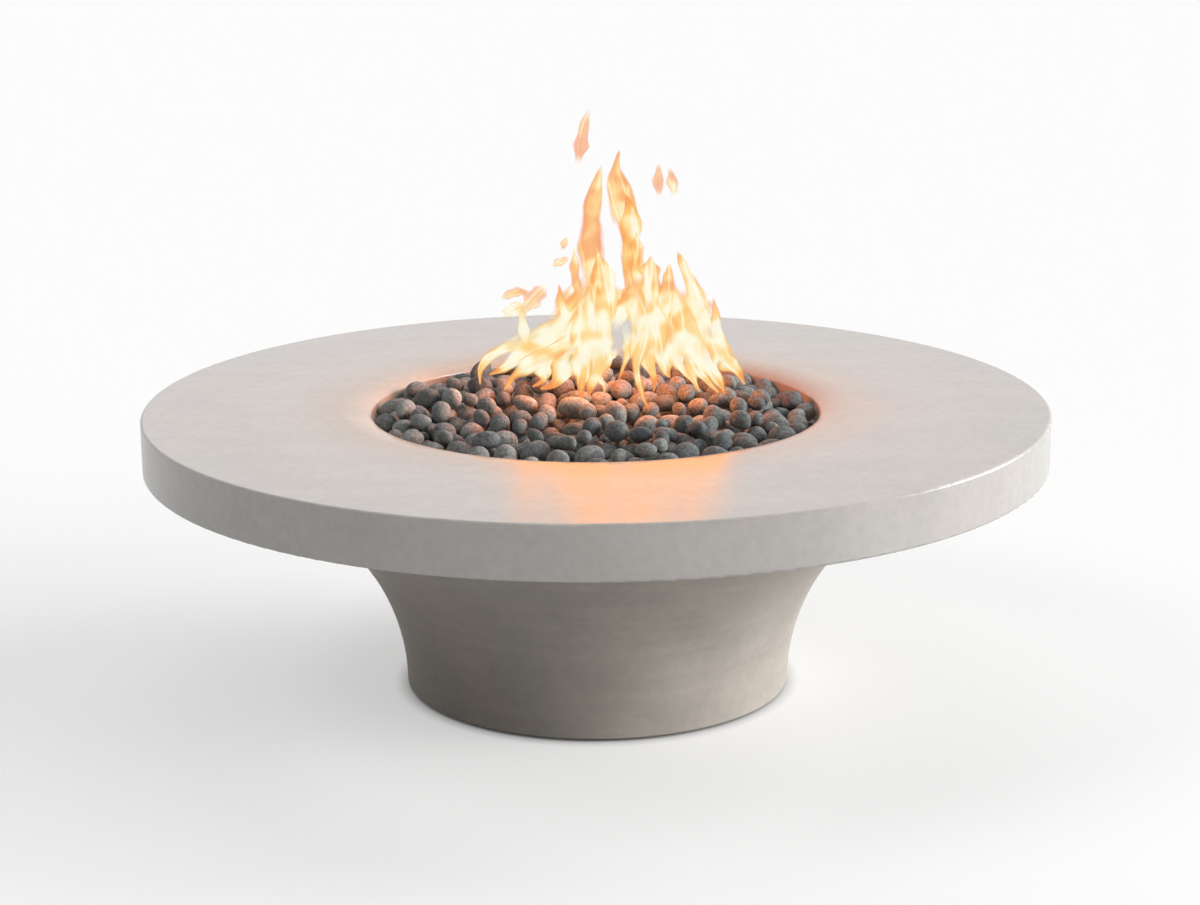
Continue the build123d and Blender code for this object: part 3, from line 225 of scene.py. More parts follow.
# Each kind's fullness and density, the depths between which it floats, and its widths and fades at root and
# tip as shares of its full width and of its length
FLAME_KINDS = {
    "tall": {
        "fullness": 1.25, "density": 0.9, "depths": (-0.05, 0.07),
        "widths": (0.8, 0.0), "fades": (0.18, 0.06),
    },
    "body": {
        "fullness": 1.5, "density": 0.92, "depths": (-0.06, 0.1),
        "widths": (0.7, 0.3), "fades": (0.3, 0.35),
    },
    "legs": {
        "fullness": 1.25, "density": 0.97,
        "widths": (0.12, 0.7), "fades": (0.02, 0.4),
    },
    "wisps": {
        "fullness": 1.25, "density": 0.72, "depths": (-0.04, 0.04),
        "widths": (0.4, 0.1), "fades": (0.25, 0.25),
    },
}

# Heights between which the flame cools and the heat lost there, and what reflections see of it
FLAME_COOLING = ((0.56, 0.64, 0.33), (0.73, 0.83, 0.5))
FLAME_LIGHT = (1.0, 0.32, 0.01, 1.0)
FLAME_LIGHT_STRENGTH = 3.0

# Clear sheets of the flame that a ray may pass
CLEAR_BOUNCES = 64


def linear(red, green, blue):
    """Linear colour from display values of 0 to 255."""
    def channel(value):
        share = value / 255
        return share / 12.92 if share <= 0.04045 else ((share + 0.055) / 1.055) ** 2.4
    return channel(red), channel(green), channel(blue), 1.0


class Shader:
    """A material's node tree, with short calls for the nodes used here."""

    def __init__(self, name):
        self.material = bpy.data.materials.new(name)
        self.material.use_nodes = True
        self.tree = self.material.node_tree
        self.tree.nodes.clear()
        self.output = self.add("ShaderNodeOutputMaterial")

    def add(self, kind, inputs=(), **settings):
        """Add a node, with its settings and its inputs as values or as sockets to link."""
        node = self.tree.nodes.new(kind)
        for key, value in settings.items():
            setattr(node, key, value)
        for key, value in dict(inputs).items():
            if isinstance(value, bpy.types.NodeSocket):
                self.tree.links.new(value, node.inputs[key])
            else:
                node.inputs[key].default_value = value
        return node

    def attribute(self, name, output="Fac"):
        """What the mesh keeps at its vertices under a name."""
        return self.add("ShaderNodeAttribute", attribute_name=name).outputs[output]

    def place(self, scale=(1.0, 1.0, 1.0), shift=(0.0, 0.0, 0.0)):
        """Object coordinates in metres, stretched and shifted."""
        source = self.add("ShaderNodeTexCoord").outputs["Object"]
        mapping = self.add("ShaderNodeMapping", {"Vector": source, "Scale": scale, "Location": shift})
        return mapping.outputs["Vector"]

    def noise(self, size, scale=(1.0, 1.0, 1.0), shift=(0.0, 0.0, 0.0), detail=4.0, rough=0.5):
        """Fractal noise of 0 to 1, with size features in a metre."""
        inputs = {
            "Vector": self.place(scale, shift), "Scale": size, "Detail": detail, "Roughness": rough,
        }
        return self.add("ShaderNodeTexNoise", inputs).outputs["Fac"]

    def flow_noise(self, flow, scale, detail):
        """Noise that runs along a flame's tongues."""
        place = self.add("ShaderNodeMapping", {"Vector": flow, "Scale": scale}).outputs["Vector"]
        inputs = {"Vector": place, "Scale": 1.0, "Detail": detail}
        return self.add("ShaderNodeTexNoise", inputs).outputs["Fac"]

    def span(self, value, low, high, start=0.0, end=1.0):
        """Map a value from one span to another, smoothly and held at its ends."""
        inputs = {"Value": value, "From Min": low, "From Max": high, "To Min": start, "To Max": end}
        node = self.add("ShaderNodeMapRange", inputs, interpolation_type="SMOOTHSTEP")
        return node.outputs["Result"]

    def maths(self, operation, first, second=0.0):
        """One step of arithmetic."""
        return self.add("ShaderNodeMath", {0: first, 1: second}, operation=operation).outputs[0]

    def mix(self, factor, first, second, blend="MIX"):
        """Mix two colours."""
        inputs = {0: factor, 6: first, 7: second}
        return self.add("ShaderNodeMix", inputs, data_type="RGBA", blend_type=blend).outputs[2]

    def shaded(self, colour, shade):
        """A colour times a factor."""
        grey = self.add("ShaderNodeCombineColor", {0: shade, 1: shade, 2: shade}).outputs[0]
        return self.mix(1.0, colour, grey, "MULTIPLY")

    def pits(self, size, radius, share):
        """Small round pits: 1 inside a pit, in a share of the cells."""
        cells = self.add("ShaderNodeTexVoronoi", {"Vector": self.place(), "Scale": size})
        chance = self.add("ShaderNodeSeparateColor", {"Color": cells.outputs["Color"]}).outputs[0]
        inside = self.span(cells.outputs["Distance"], radius, radius * PIT_FLOOR)
        return self.maths("MULTIPLY", inside, self.maths("LESS_THAN", chance, share))

    def bump(self, height, depth, strength=1.0, normal=None):
        """Bump from a height of 0 to 1 with a depth in metres."""
        inputs = {"Height": height, "Distance": depth, "Strength": strength}
        if normal is not None:
            inputs["Normal"] = normal
        return self.add("ShaderNodeBump", inputs).outputs["Normal"]

    def surface(self, **inputs):
        """Finish with a Principled surface."""
        named = {key.replace("_", " "): value for key, value in inputs.items()}
        node = self.add("ShaderNodeBsdfPrincipled", named)
        self.tree.links.new(node.outputs["BSDF"], self.output.inputs["Surface"])
        return self.material


# Materials

# Tints of the concrete, the radii between which its painted fire glow fades, and the flat share of a pit
OLIVE_TINT = (0.988, 0.993, 0.975, 1.0)
ROSE_TINT = (1.012, 0.99, 0.985, 1.0)
PAINTED_GLOW_TINT = (0.98, 0.87, 0.75, 1.0)
PAINTED_GLOW_WITHIN = (0.35, 0.5)
PIT_FLOOR = 0.6


def painted_fire_glow(shader, colour):
    """The colour with a painted fire glow, which fades with the distance from the upright axis."""
    level = shader.place(scale=(1.0, 1.0, 0.0))
    out = shader.add("ShaderNodeVectorMath", {0: level}, operation="LENGTH").outputs["Value"]
    # Painted light: the fire's orange glow, as a tint of the colour
    warm = shader.mix(1.0, colour, PAINTED_GLOW_TINT, "MULTIPLY")
    return shader.mix(shader.span(out, *PAINTED_GLOW_WITHIN, 1.0, 0.0), colour, warm)


def concrete(name, tone, contrast, streaks, streak_depth, roughness, gloss, with_painted_glow):
    """Sealed cast concrete: soft clouds, olive and rose tints, trowel streaks and fine mottling."""
    shader = Shader(name)
    cloud = shader.noise(size=7.0, detail=3.0, rough=0.45)
    patch = shader.noise(size=3.4, shift=(3.0, 1.0, 7.0), detail=2.0)
    streak = shader.noise(size=1.0, scale=streaks, detail=4.0, rough=0.5)
    mottle = shader.noise(size=70.0, detail=3.0, rough=0.6)
    tint = shader.mix(shader.span(patch, 0.34, 0.66), OLIVE_TINT, ROSE_TINT)
    colour = shader.mix(1.0, tone, tint, "MULTIPLY")
    # Painted light: the orange glow of the fire, painted into the colour around the bowl
    if with_painted_glow:
        colour = painted_fire_glow(shader, colour)
    shade = shader.span(cloud, 0.28, 0.72, 1 - contrast, 1 + contrast)
    trowelled = shader.span(streak, 0.3, 0.7, 1 - streak_depth, 1 + streak_depth)
    shade = shader.maths("MULTIPLY", shade, trowelled)
    shade = shader.maths("MULTIPLY", shade, shader.span(mottle, 0.3, 0.7, 0.96, 1.04))
    rough = shader.span(shader.maths("ADD", cloud, streak), 0.75, 1.25, *roughness)
    normal = shader.bump(mottle, depth=0.0002, strength=0.3)
    return shader.surface(
        Base_Color=shader.shaded(colour, shade), Roughness=rough, Normal=normal, Specular_IOR_Level=gloss,
    )


def concrete_top():
    """Pale warm grey of the disc, trowelled along X, with a sealed shine and a painted fire glow by the bowl.
    """
    return concrete(
        "concrete_top", linear(190, 186, 182), contrast=0.03, streaks=(3.0, 16.0, 5.0), streak_depth=0.018,
        roughness=(0.22, 0.27), gloss=0.9, with_painted_glow=True,
    )


def concrete_pedestal():
    """Deeper taupe grey of the pedestal, with level casting streaks."""
    return concrete(
        "concrete_pedestal", linear(179, 172, 164), contrast=0.1, streaks=(3.0, 3.0, 46.0), streak_depth=0.05,
        roughness=(0.45, 0.6), gloss=0.25, with_painted_glow=False,
    )


def lava_stone():
    """Matt tumbled lava rock with fine pores darkened by painted shade, each stone with its own tone."""
    shader = Shader("lava_stone")
    cloud = shader.noise(size=60.0, detail=4.0, rough=0.6)
    speck = shader.noise(size=230.0, detail=4.0, rough=0.72)
    pores = shader.pits(size=260.0, radius=0.32, share=0.45)
    colour = shader.mix(shader.attribute("stone_tone"), linear(94, 99, 100), linear(147, 152, 150))
    shade = shader.span(speck, 0.36, 0.64, 0.7, 1.32)
    # Painted shade: the inside of each pore is darker
    shade = shader.maths("MULTIPLY", shade, shader.span(pores, 0.0, 1.0, 1.0, 0.62))
    shade = shader.maths("MULTIPLY", shade, shader.span(cloud, 0.3, 0.7, 0.86, 1.14))
    normal = shader.bump(cloud, depth=0.0012, strength=0.7)
    normal = shader.bump(speck, depth=0.0005, strength=0.8, normal=normal)
    normal = shader.bump(shader.maths("SUBTRACT", 1.0, pores), depth=0.0006, strength=0.6, normal=normal)
    return shader.surface(
        Base_Color=shader.shaded(colour, shade), Roughness=0.85, Normal=normal, Specular_IOR_Level=0.25,
    )


def lava_granules():
    """Fine dark stone fill."""
    shader = Shader("lava_granules")
    grains = shader.add("ShaderNodeTexVoronoi", {"Vector": shader.place(), "Scale": 320.0})
    chance = shader.add("ShaderNodeSeparateColor", {"Color": grains.outputs["Color"]}).outputs[0]
    colour = shader.mix(chance, linear(34, 33, 32), linear(74, 70, 66))
    normal = shader.bump(grains.outputs["Distance"], depth=0.002, strength=0.9)
    return shader.surface(Base_Color=colour, Roughness=0.9, Normal=normal)


def metal(name, pale, deep, roughness, size, relief, stretch=(1.0, 1.0, 1.0)):
    """Bare metal with finishing marks, which a stretch draws out, and a faint tarnish."""
    shader = Shader(name)
    marks = shader.noise(size, scale=stretch, detail=5.0, rough=0.6)
    tarnish = shader.noise(size=28.0, detail=5.0, rough=0.6)
    blend = shader.maths("MULTIPLY", shader.maths("ADD", marks, tarnish), 0.5)
    colour = shader.mix(shader.span(blend, 0.3, 0.7), deep, pale)
    rough = shader.span(marks, 0.25, 0.75, *roughness)
    normal = shader.bump(marks, depth=relief)
    return shader.surface(Base_Color=colour, Roughness=rough, Normal=normal, Metallic=1.0)


def stainless():
    """Brushed sheet, brushed along X."""
    return metal(
        "stainless", linear(205, 203, 200), linear(170, 168, 166), roughness=(0.24, 0.4), size=1.0,
        relief=0.00004, stretch=(12.0, 900.0, 900.0),
    )


def zinc_steel():
    """Zinc plated fasteners."""
    return metal(
        "zinc_steel", linear(196, 198, 200), linear(150, 152, 156), roughness=(0.3, 0.46), size=240.0,
        relief=0.00006,
    )


def cast_aluminium():
    """Cast aluminium with a grainy skin."""
    return metal(
        "cast_aluminium", linear(186, 187, 188), linear(146, 147, 149), roughness=(0.42, 0.58), size=420.0,
        relief=0.0002,
    )


def brass():
    """Machined brass."""
    return metal(
        "brass", linear(212, 178, 104), linear(166, 130, 66), roughness=(0.22, 0.4), size=300.0,
        relief=0.00004, stretch=(1.0, 1.0, 6.0),
    )


def spring_steel():
    """Drawn spring wire."""
    return metal(
        "spring_steel", linear(176, 176, 178), linear(120, 120, 124), roughness=(0.28, 0.42), size=900.0,
        relief=0.00003,
    )


def copper():
    """Copper capillary with dull patches."""
    return metal(
        "copper", linear(204, 134, 98), linear(138, 84, 60), roughness=(0.3, 0.5), size=260.0, relief=0.00004,
    )


def hose_steel():
    """Braided stainless hose: crossing strands from two diagonal waves, with painted shade between them."""
    shader = Shader("hose_steel")
    strands = []
    for slant in (0.7, -0.7):
        place = shader.place((1.0, 1.0, slant))
        inputs = {"Vector": place, "Scale": 160.0}
        wave = shader.add("ShaderNodeTexWave", inputs, bands_direction="DIAGONAL")
        strands.append(wave.outputs["Fac"])
    braid = shader.maths("MAXIMUM", *strands)
    # Painted shade: the gaps between the strands are darker
    colour = shader.mix(braid, linear(92, 92, 94), linear(206, 206, 208))
    rough = shader.span(braid, 0.2, 0.9, 0.55, 0.3)
    normal = shader.bump(braid, depth=0.0006)
    return shader.surface(Base_Color=colour, Roughness=rough, Normal=normal, Metallic=1.0)


def moulded(name, pale, deep, roughness, size, relief):
    """Moulded plastic, rubber or glaze with a fine skin and faint wear."""
    shader = Shader(name)
    skin = shader.noise(size, detail=3.0)
    wear = shader.noise(size=46.0, detail=6.0, rough=0.62)
    colour = shader.mix(shader.span(wear, 0.35, 0.7), deep, pale)
    rough = shader.span(wear, 0.3, 0.7, *roughness)
    normal = shader.bump(skin, depth=relief)
    return shader.surface(Base_Color=colour, Roughness=rough, Normal=normal)


def rubber():
    """Black rubber of the soles and the gasket."""
    return moulded(
        "rubber", linear(46, 45, 44), linear(30, 30, 30), roughness=(0.68, 0.86), size=700.0, relief=0.0002,
    )


def knob_black():
    """Satin black knob."""
    return moulded(
        "knob_black", linear(40, 40, 41), linear(24, 24, 25), roughness=(0.34, 0.5), size=1400.0,
        relief=0.00006,
    )


def pointer_white():
    """Pale pointer bar."""
    return moulded(
        "pointer_white", linear(236, 234, 228), linear(218, 215, 206), roughness=(0.4, 0.52), size=1200.0,
        relief=0.00004,
    )


def igniter_black():
    """Hard black plastic of the igniter."""
    return moulded(
        "igniter_black", linear(44, 43, 43), linear(28, 27, 27), roughness=(0.42, 0.58), size=1100.0,
        relief=0.00008,
    )


def button_red():
    """Red push button."""
    return moulded(
        "button_red", linear(176, 38, 30), linear(142, 26, 22), roughness=(0.3, 0.44), size=1300.0,
        relief=0.00004,
    )


def ceramic_white():
    """Glazed ceramic."""
    return moulded(
        "ceramic_white", linear(238, 234, 224), linear(222, 216, 204), roughness=(0.16, 0.3), size=500.0,
        relief=0.00003,
    )


def wire_orange():
    """Silicone ignition lead."""
    return moulded(
        "wire_orange", linear(196, 92, 40), linear(164, 72, 30), roughness=(0.45, 0.6), size=900.0,
        relief=0.00005,
    )


FINISHES = (
    concrete_top, concrete_pedestal, lava_stone, lava_granules, rubber, zinc_steel, stainless,
    cast_aluminium, brass, hose_steel, spring_steel, knob_black, pointer_white, igniter_black, button_red,
    ceramic_white, wire_orange, copper,
)


def dress_nodes():
    """Give every node of the frame its finish and return the finishes by slot."""
    finishes = {make.__name__: make() for make in FINISHES}
    for part in frame["record"]["subparts"]:
        for slot in frame["nodes"][part["node"]].material_slots:
            slot.material = finishes[part["material_slot"]]
    return finishes


# Mesh pieces


def new_piece(name, vertices, faces, material, smooth=True):
    """Mesh object from arrays of vertices and faces."""
    mesh = bpy.data.meshes.new(name)
    mesh.from_pydata([tuple(v) for v in vertices], [], [tuple(f) for f in faces])
    mesh.polygons.foreach_set("use_smooth", [smooth] * len(mesh.polygons))
    mesh.materials.append(material)
    mesh.update()
    piece = bpy.data.objects.new(name, mesh)
    bpy.context.scene.collection.objects.link(piece)
    return piece


def loose_parts(node):
    """The vertices of each separate solid of a node, as a list of arrays."""
    mesh = frame["nodes"][node].data
    places = np.zeros(3 * len(mesh.vertices))
    mesh.vertices.foreach_get("co", places)
    places = places.reshape(-1, 3)
    mesh.calc_loop_triangles()
    corners = np.zeros(3 * len(mesh.loop_triangles), dtype=np.int64)
    mesh.loop_triangles.foreach_get("vertices", corners)
    places, merged = np.unique(places.round(WELD_DIGITS), axis=0, return_inverse=True)
    corners = merged.ravel()[corners].reshape(-1, 3)
    owner = np.arange(len(places))
    while True:
        least = owner[corners].min(axis=1)
        joined = owner.copy()
        np.minimum.at(joined, corners.ravel(), np.repeat(least, 3))
        joined = joined[joined]
        if np.array_equal(joined, owner):
            break
        owner = joined
    order = np.argsort(owner, kind="stable")
    starts = np.flatnonzero(np.diff(owner[order])) + 1
    return [places[part] for part in np.split(order, starts)]


def unit_sphere(steps):
    """Vertices and triangles of an even sphere."""
    ball = bpy.data.meshes.new("ball")
    builder = bmesh.new()
    bmesh.ops.create_icosphere(builder, subdivisions=steps, radius=1.0)
    builder.to_mesh(ball)
    builder.free()
    vertices = np.array([v.co for v in ball.vertices])
    faces = np.array([f.vertices for f in ball.polygons])
    bpy.data.meshes.remove(ball)
    return vertices, faces


def stone_axes(points):
    """Centre, axes as columns and half sizes of a stone's solid, its longest axis last."""
    middle = (points.min(axis=0) + points.max(axis=0)) / 2
    spread = np.cov((points - middle).T)
    axes = np.linalg.eigh(spread)[1]
    along = (points - middle) @ axes
    return middle, axes, (along.max(axis=0) - along.min(axis=0)) / 2


def stone_shape(rng, ball):
    """A tumbled pebble on the unit sphere: egg shaped, a little flat and softly lumpy."""
    egg = rng.uniform(-STONE_EGG, STONE_EGG)
    flat = 1 - rng.uniform(0, STONE_FLATTEN)
    waves = rng.normal(0, STONE_LUMP_WAVES, (STONE_LUMPS, 3))
    phases = rng.uniform(0, 2 * np.pi, STONE_LUMPS)
    lumps = np.sin(ball @ waves.T + phases).sum(axis=1) / math.sqrt(STONE_LUMPS)
    shape = ball * (1 - STONE_LUMP_DEPTH + STONE_LUMP_DEPTH * lumps)[:, None]
    taper = 1 - abs(egg) + egg * ball[:, 2]
    shape[:, 0] *= taper * flat
    shape[:, 1] *= taper
    return shape


def lava_stones(node, material, rng):
    """Detailed stones in the places of a node's solids."""
    ball, ball_faces = unit_sphere(STONE_SPHERE_STEPS)
    vertices = []
    faces = []
    tones = []
    for count, points in enumerate(loose_parts(node)):
        middle, axes, half = stone_axes(points)
        vertices.append(middle + (stone_shape(rng, ball) * half) @ axes.T)
        turned = ball_faces if np.linalg.det(axes) > 0 else ball_faces[:, ::-1]
        faces.append(turned + count * len(ball))
        tones.append(np.full(len(ball), rng.beta(*STONE_TONE_POWERS)))
    piece = new_piece(node + "_shown", np.concatenate(vertices), np.concatenate(faces), material)
    layer = piece.data.attributes.new("stone_tone", "FLOAT", "POINT")
    layer.data.foreach_set("value", np.concatenate(tones))
    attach(piece, "root")
    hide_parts(node)


def granule_bed(material):
    """Granular top of the stone fill, with plain sides and underside."""
    low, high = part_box("lava_granule_bed")
    radius = high.x
    rng = np.random.default_rng(BED_SEED)
    rings = int(radius / BED_CELL)
    sides = BED_SIDES * rings
    turn = np.linspace(0, 2 * np.pi, sides, endpoint=False)
    vertices = [(0.0, 0.0, high.z - BED_RELIEF / 2)]
    for ring in range(1, rings + 1):
        out = radius * ring / rings
        height = high.z - BED_RELIEF * rng.uniform(0, 1, sides)
        vertices += list(zip(out * np.cos(turn), out * np.sin(turn), height))
    vertices += list(zip(radius * np.cos(turn), radius * np.sin(turn), np.full(sides, low.z)))
    vertices.append((0.0, 0.0, low.z))
    faces = [(0, 1 + side, 1 + (side + 1) % sides) for side in range(sides)]
    for ring in range(rings):
        start = 1 + ring * sides
        for side in range(sides):
            after = (side + 1) % sides
            faces.append((start + side, start + sides + side, start + sides + after, start + after))
    rim = 1 + rings * sides
    faces += [(rim + side, len(vertices) - 1, rim + (side + 1) % sides) for side in range(sides)]
    piece = new_piece("lava_granule_bed_shown", vertices, faces, material)
    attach(piece, "root")
    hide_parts("lava_granule_bed")


def pressed_springs():
    """Copies of the knob's and the button's springs that the record's joints list, each on its own mesh and
    body; they keep their shape.
    """
    for joint in frame["record"]["behaviour"]["joints"]:
        for row in joint.get("deforming_nodes", ()):
            name = row["node"]
            node = frame["nodes"][name]
            low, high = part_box(name)
            piece = bpy.data.objects.new(name + "_shown", node.data.copy())
            piece.matrix_world = node.matrix_world.copy()
            bpy.context.scene.collection.objects.link(piece)
            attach(piece, body_of(node)[0])
            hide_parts(name)
            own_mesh(piece)


# Flame

# Colours by heat, scales of the noise across and along a tongue, and the heat lost at an edge
FLAME_COLOURS = (
    (0.0, linear(246, 150, 84)), (0.3, linear(251, 178, 102)), (0.55, linear(254, 212, 136)),
    (0.8, linear(255, 238, 184)), (1.0, linear(255, 252, 228)),
)
LICKS = (32.0, 11.0, 1.0)
THREADS = (62.0, 8.0, 1.0)
EDGE_COOLING = 0.85


def flame_warmth(shader, flow, edge):
    """Heat of 0 to 1: less at the edges, in cool patches and high up, more along bright threads."""
    threads = shader.flow_noise(flow, THREADS, detail=1.0)
    ridge = shader.maths("ABSOLUTE", shader.maths("SUBTRACT", threads, 0.5))
    cooled = shader.maths("MULTIPLY", shader.maths("POWER", edge, 3.0), EDGE_COOLING)
    heat = shader.maths("SUBTRACT", shader.attribute("flame_heat"), cooled)
    heat = shader.maths("ADD", heat, shader.span(ridge, 0.07, 0.0, 0.0, 0.35))
    patches = shader.noise(size=26.0, detail=1.0)
    heat = shader.maths("ADD", heat, shader.span(patches, 0.35, 0.65, -0.4, 0.15))
    height = shader.add("ShaderNodeSeparateXYZ", {"Vector": shader.place()}).outputs["Z"]
    for low, high, loss in FLAME_COOLING:
        heat = shader.maths("SUBTRACT", heat, shader.span(height, low, high, 0.0, loss))
    return heat


def flame_colour(shader, heat):
    """Colour of the burning gas, from orange to pale with its heat."""
    ramp = shader.add("ShaderNodeValToRGB", {"Fac": heat})
    while len(ramp.color_ramp.elements) < len(FLAME_COLOURS):
        ramp.color_ramp.elements.new(1.0)
    for element, (place, colour) in zip(ramp.color_ramp.elements, FLAME_COLOURS):
        element.position = place
        element.color = colour
    return ramp.outputs["Color"]


def flame_finish():
    """Burning gas: pale and dense low down and inside, orange and thin at the edges and tips."""
    shader = Shader("flame")
    flow = shader.attribute("flame_flow", "Vector")
    licks = shader.span(shader.flow_noise(flow, LICKS, detail=2.0), 0.3, 0.7, -0.35, 0.3)
    across = shader.maths("ABSOLUTE", shader.attribute("flame_across"))
    edge = shader.maths("ADD", across, licks)
    cover = shader.maths("MULTIPLY", shader.span(edge, 1.0, 0.6), shader.attribute("flame_density"))
    seen = flame_colour(shader, flame_warmth(shader, flow, edge))
    mirrored = shader.add("ShaderNodeLightPath").outputs["Is Glossy Ray"]
    colour = shader.mix(mirrored, seen, FLAME_LIGHT)
    strength = shader.span(mirrored, 0.0, 1.0, 1.0, FLAME_LIGHT_STRENGTH)
    glow = shader.add("ShaderNodeEmission", {"Color": colour, "Strength": strength})
    clear = shader.add("ShaderNodeBsdfTransparent")
    both = shader.add("ShaderNodeMixShader", {0: cover, 1: clear.outputs[0], 2: glow.outputs[0]})
    shader.tree.links.new(both.outputs[0], shader.output.inputs["Surface"])
    shader.material.cycles.emission_sampling = "NONE"
    return shader.material


def seen_ray(pixel):
    """Direction of the camera's ray through a pixel of the photograph."""
    right, up, forward = camera_axes()
    return (
        forward + right * ((pixel[0] - PHOTO_WIDTH / 2) / FOCAL_PIXELS)
        - up * ((pixel[1] - PHOTO_HEIGHT / 2) / FOCAL_PIXELS)
    )


def seen_at(pixel, depth):
    """Point of the plane y = depth behind a pixel of the photograph, and the size of a pixel there."""
    ray = seen_ray(pixel)
    far = (depth - CAMERA_PLACE.y) / ray.y
    return CAMERA_PLACE + far * ray, far / FOCAL_PIXELS


def foot_depth(pixel):
    """Depth at which the ray through a pixel of the photograph meets the tops of the stones."""
    ray = seen_ray(pixel)
    return CAMERA_PLACE.y + ray.y * (FLAME_FOOT - CAMERA_PLACE.z) / ray.z


def smooth_path(points, steps):
    """Smooth curve through a few points."""
    ends = np.vstack([2 * points[0] - points[1], points, 2 * points[-1] - points[-2]])
    place = np.linspace(0, len(points) - 1, steps)
    index = np.minimum(place.astype(int), len(points) - 2)
    t = (place - index)[:, None]
    a, b, c, d = (ends[index + shift] for shift in range(4))
    square = a - 2.5 * b + 2 * c - d / 2
    cube = 1.5 * (b - c) + (d - a) / 2
    return b + (c - a) * t / 2 + square * t ** 2 + cube * t ** 3


def eased(share):
    """Smooth step from 0 to 1."""
    held = np.clip(share, 0, 1)
    return held * held * (3 - 2 * held)


class Tongue:
    """One tongue of the flame: two crossing sheets along a spine."""

    def __init__(self, rng, kind, half_pixels, widest, pixels):
        shape = FLAME_KINDS[kind]
        depth = foot_depth(pixels[0]) if kind == "legs" else rng.uniform(*shape["depths"])
        lean = (FLAME_TIP_DEPTH - 1) * depth / (len(pixels) - 1)
        found = [seen_at(pixel, depth + lean * step) for step, pixel in enumerate(pixels)]
        self.spine = smooth_path(np.array([place for place, _ in found]), FLAME_STEPS)
        along = np.linspace(0, 1, FLAME_STEPS)
        root, tip = shape["widths"]
        below = root + (1 - root) * np.clip(along / widest, 0, 1) ** FLAME_SWELL
        above = tip + (1 - tip) * np.sin(np.pi / 2 * np.clip((1 - along) / (1 - widest), 0, 1))
        ripple = np.sin(2 * np.pi * rng.uniform(*FLAME_RIPPLES) * along + rng.uniform(0, 2 * np.pi))
        self.half = shape["fullness"] * half_pixels * found[0][1] * np.minimum(below, above)
        self.half *= 1 + FLAME_RIPPLE * ripple
        steps = np.linalg.norm(np.diff(self.spine, axis=0), axis=1)
        self.length = np.concatenate([[0.0], np.cumsum(steps)])
        fade_in, fade_out = shape["fades"]
        self.density = shape["density"] * eased(along / fade_in) * eased((1 - along) / fade_out)
        self.heat = np.ones(FLAME_STEPS)
        if kind == "legs":
            self.heat = LEG_HEAT + (1 - LEG_HEAT) * eased(along / LEG_HEATED_FROM)

    def sheets(self, across):
        """Grids of points: one square to the view of the photograph, one along it."""
        run = np.gradient(self.spine, axis=0)
        facing = np.stack([run[:, 2], np.zeros(FLAME_STEPS), -run[:, 0]], axis=1)
        facing /= np.linalg.norm(facing, axis=1)[:, None]
        deep = np.tile((0.0, 1.0, 0.0), (FLAME_STEPS, 1))
        for side in (facing, deep):
            yield self.spine[:, None, :] + across[None, :, None] * (self.half[:, None] * side)[:, None, :]


def grid_faces(start, rows, columns):
    """Four-sided faces of a grid of points that begins at a vertex."""
    for row in range(rows - 1):
        for column in range(columns - 1):
            corner = start + row * columns + column
            yield corner, corner + 1, corner + columns + 1, corner + columns


def flame():
    """All tongues of the flame as one mesh, seen by the camera and in reflections alone."""
    rng = np.random.default_rng(FLAME_SEED)
    across = np.linspace(-1, 1, FLAME_ACROSS)
    vertices = []
    faces = []
    layers = {"flame_across": [], "flame_density": [], "flame_heat": []}
    flows = []
    for kind, rows in FLAME_TONGUES.items():
        for row in rows:
            tongue = Tongue(rng, kind, *row)
            for sheet in tongue.sheets(across):
                faces += grid_faces(len(vertices), FLAME_STEPS, FLAME_ACROSS)
                vertices += list(sheet.reshape(-1, 3))
                layers["flame_across"] += list(np.tile(across, FLAME_STEPS))
                layers["flame_density"] += list(np.repeat(tongue.density, FLAME_ACROSS))
                layers["flame_heat"] += list(np.repeat(tongue.heat, FLAME_ACROSS))
                seed = rng.uniform(0, FLAME_NOISE_SPREAD)
                for half, run in zip(tongue.half, tongue.length):
                    flows += [(share * half, run, seed) for share in across]
    piece = new_piece("flame", vertices, faces, flame_finish())
    for name, values in layers.items():
        piece.data.attributes.new(name, "FLOAT", "POINT").data.foreach_set("value", values)
    flow_layer = piece.data.attributes.new("flame_flow", "FLOAT_VECTOR", "POINT")
    flow_layer.data.foreach_set("vector", np.array(flows).ravel())
    piece.visible_shadow = False
    piece.visible_diffuse = False


# Stage


def seen_directly(shader):
    """1 where a ray from the camera, a reflection or a clear piece meets the surface, else 0."""
    path = shader.add("ShaderNodeLightPath").outputs
    seen = shader.maths("MAXIMUM", path["Is Camera Ray"], path["Is Glossy Ray"])
    return shader.maths("MAXIMUM", seen, path["Is Transmission Ray"])


def make_floor():
    """Pale floor that keeps the object's shadow and has a painted contact shadow where something stands."""
    shader = Shader("floor")
    ground = shader.add("ShaderNodeBsdfDiffuse", {"Color": FLOOR_TONE})
    # Painted shadow: the white added for the eye fades where something stands close, a dark contact line
    open_share = shader.add("ShaderNodeAmbientOcclusion", {"Distance": CONTACT_SHADOW_REACH}).outputs["AO"]
    lift = shader.maths("MULTIPLY", shader.maths("MULTIPLY", seen_directly(shader), FLOOR_LIFT), open_share)
    white = shader.add("ShaderNodeEmission", {"Strength": lift})
    both = shader.add("ShaderNodeAddShader", {0: ground.outputs[0], 1: white.outputs[0]})
    shader.tree.links.new(both.outputs[0], shader.output.inputs["Surface"])
    edge = FLOOR_HALF
    corners = [(-edge, -edge, 0.0), (edge, -edge, 0.0), (edge, edge, 0.0), (-edge, edge, 0.0)]
    floor = new_piece("floor", corners, [(0, 1, 2, 3)], shader.material, smooth=False)


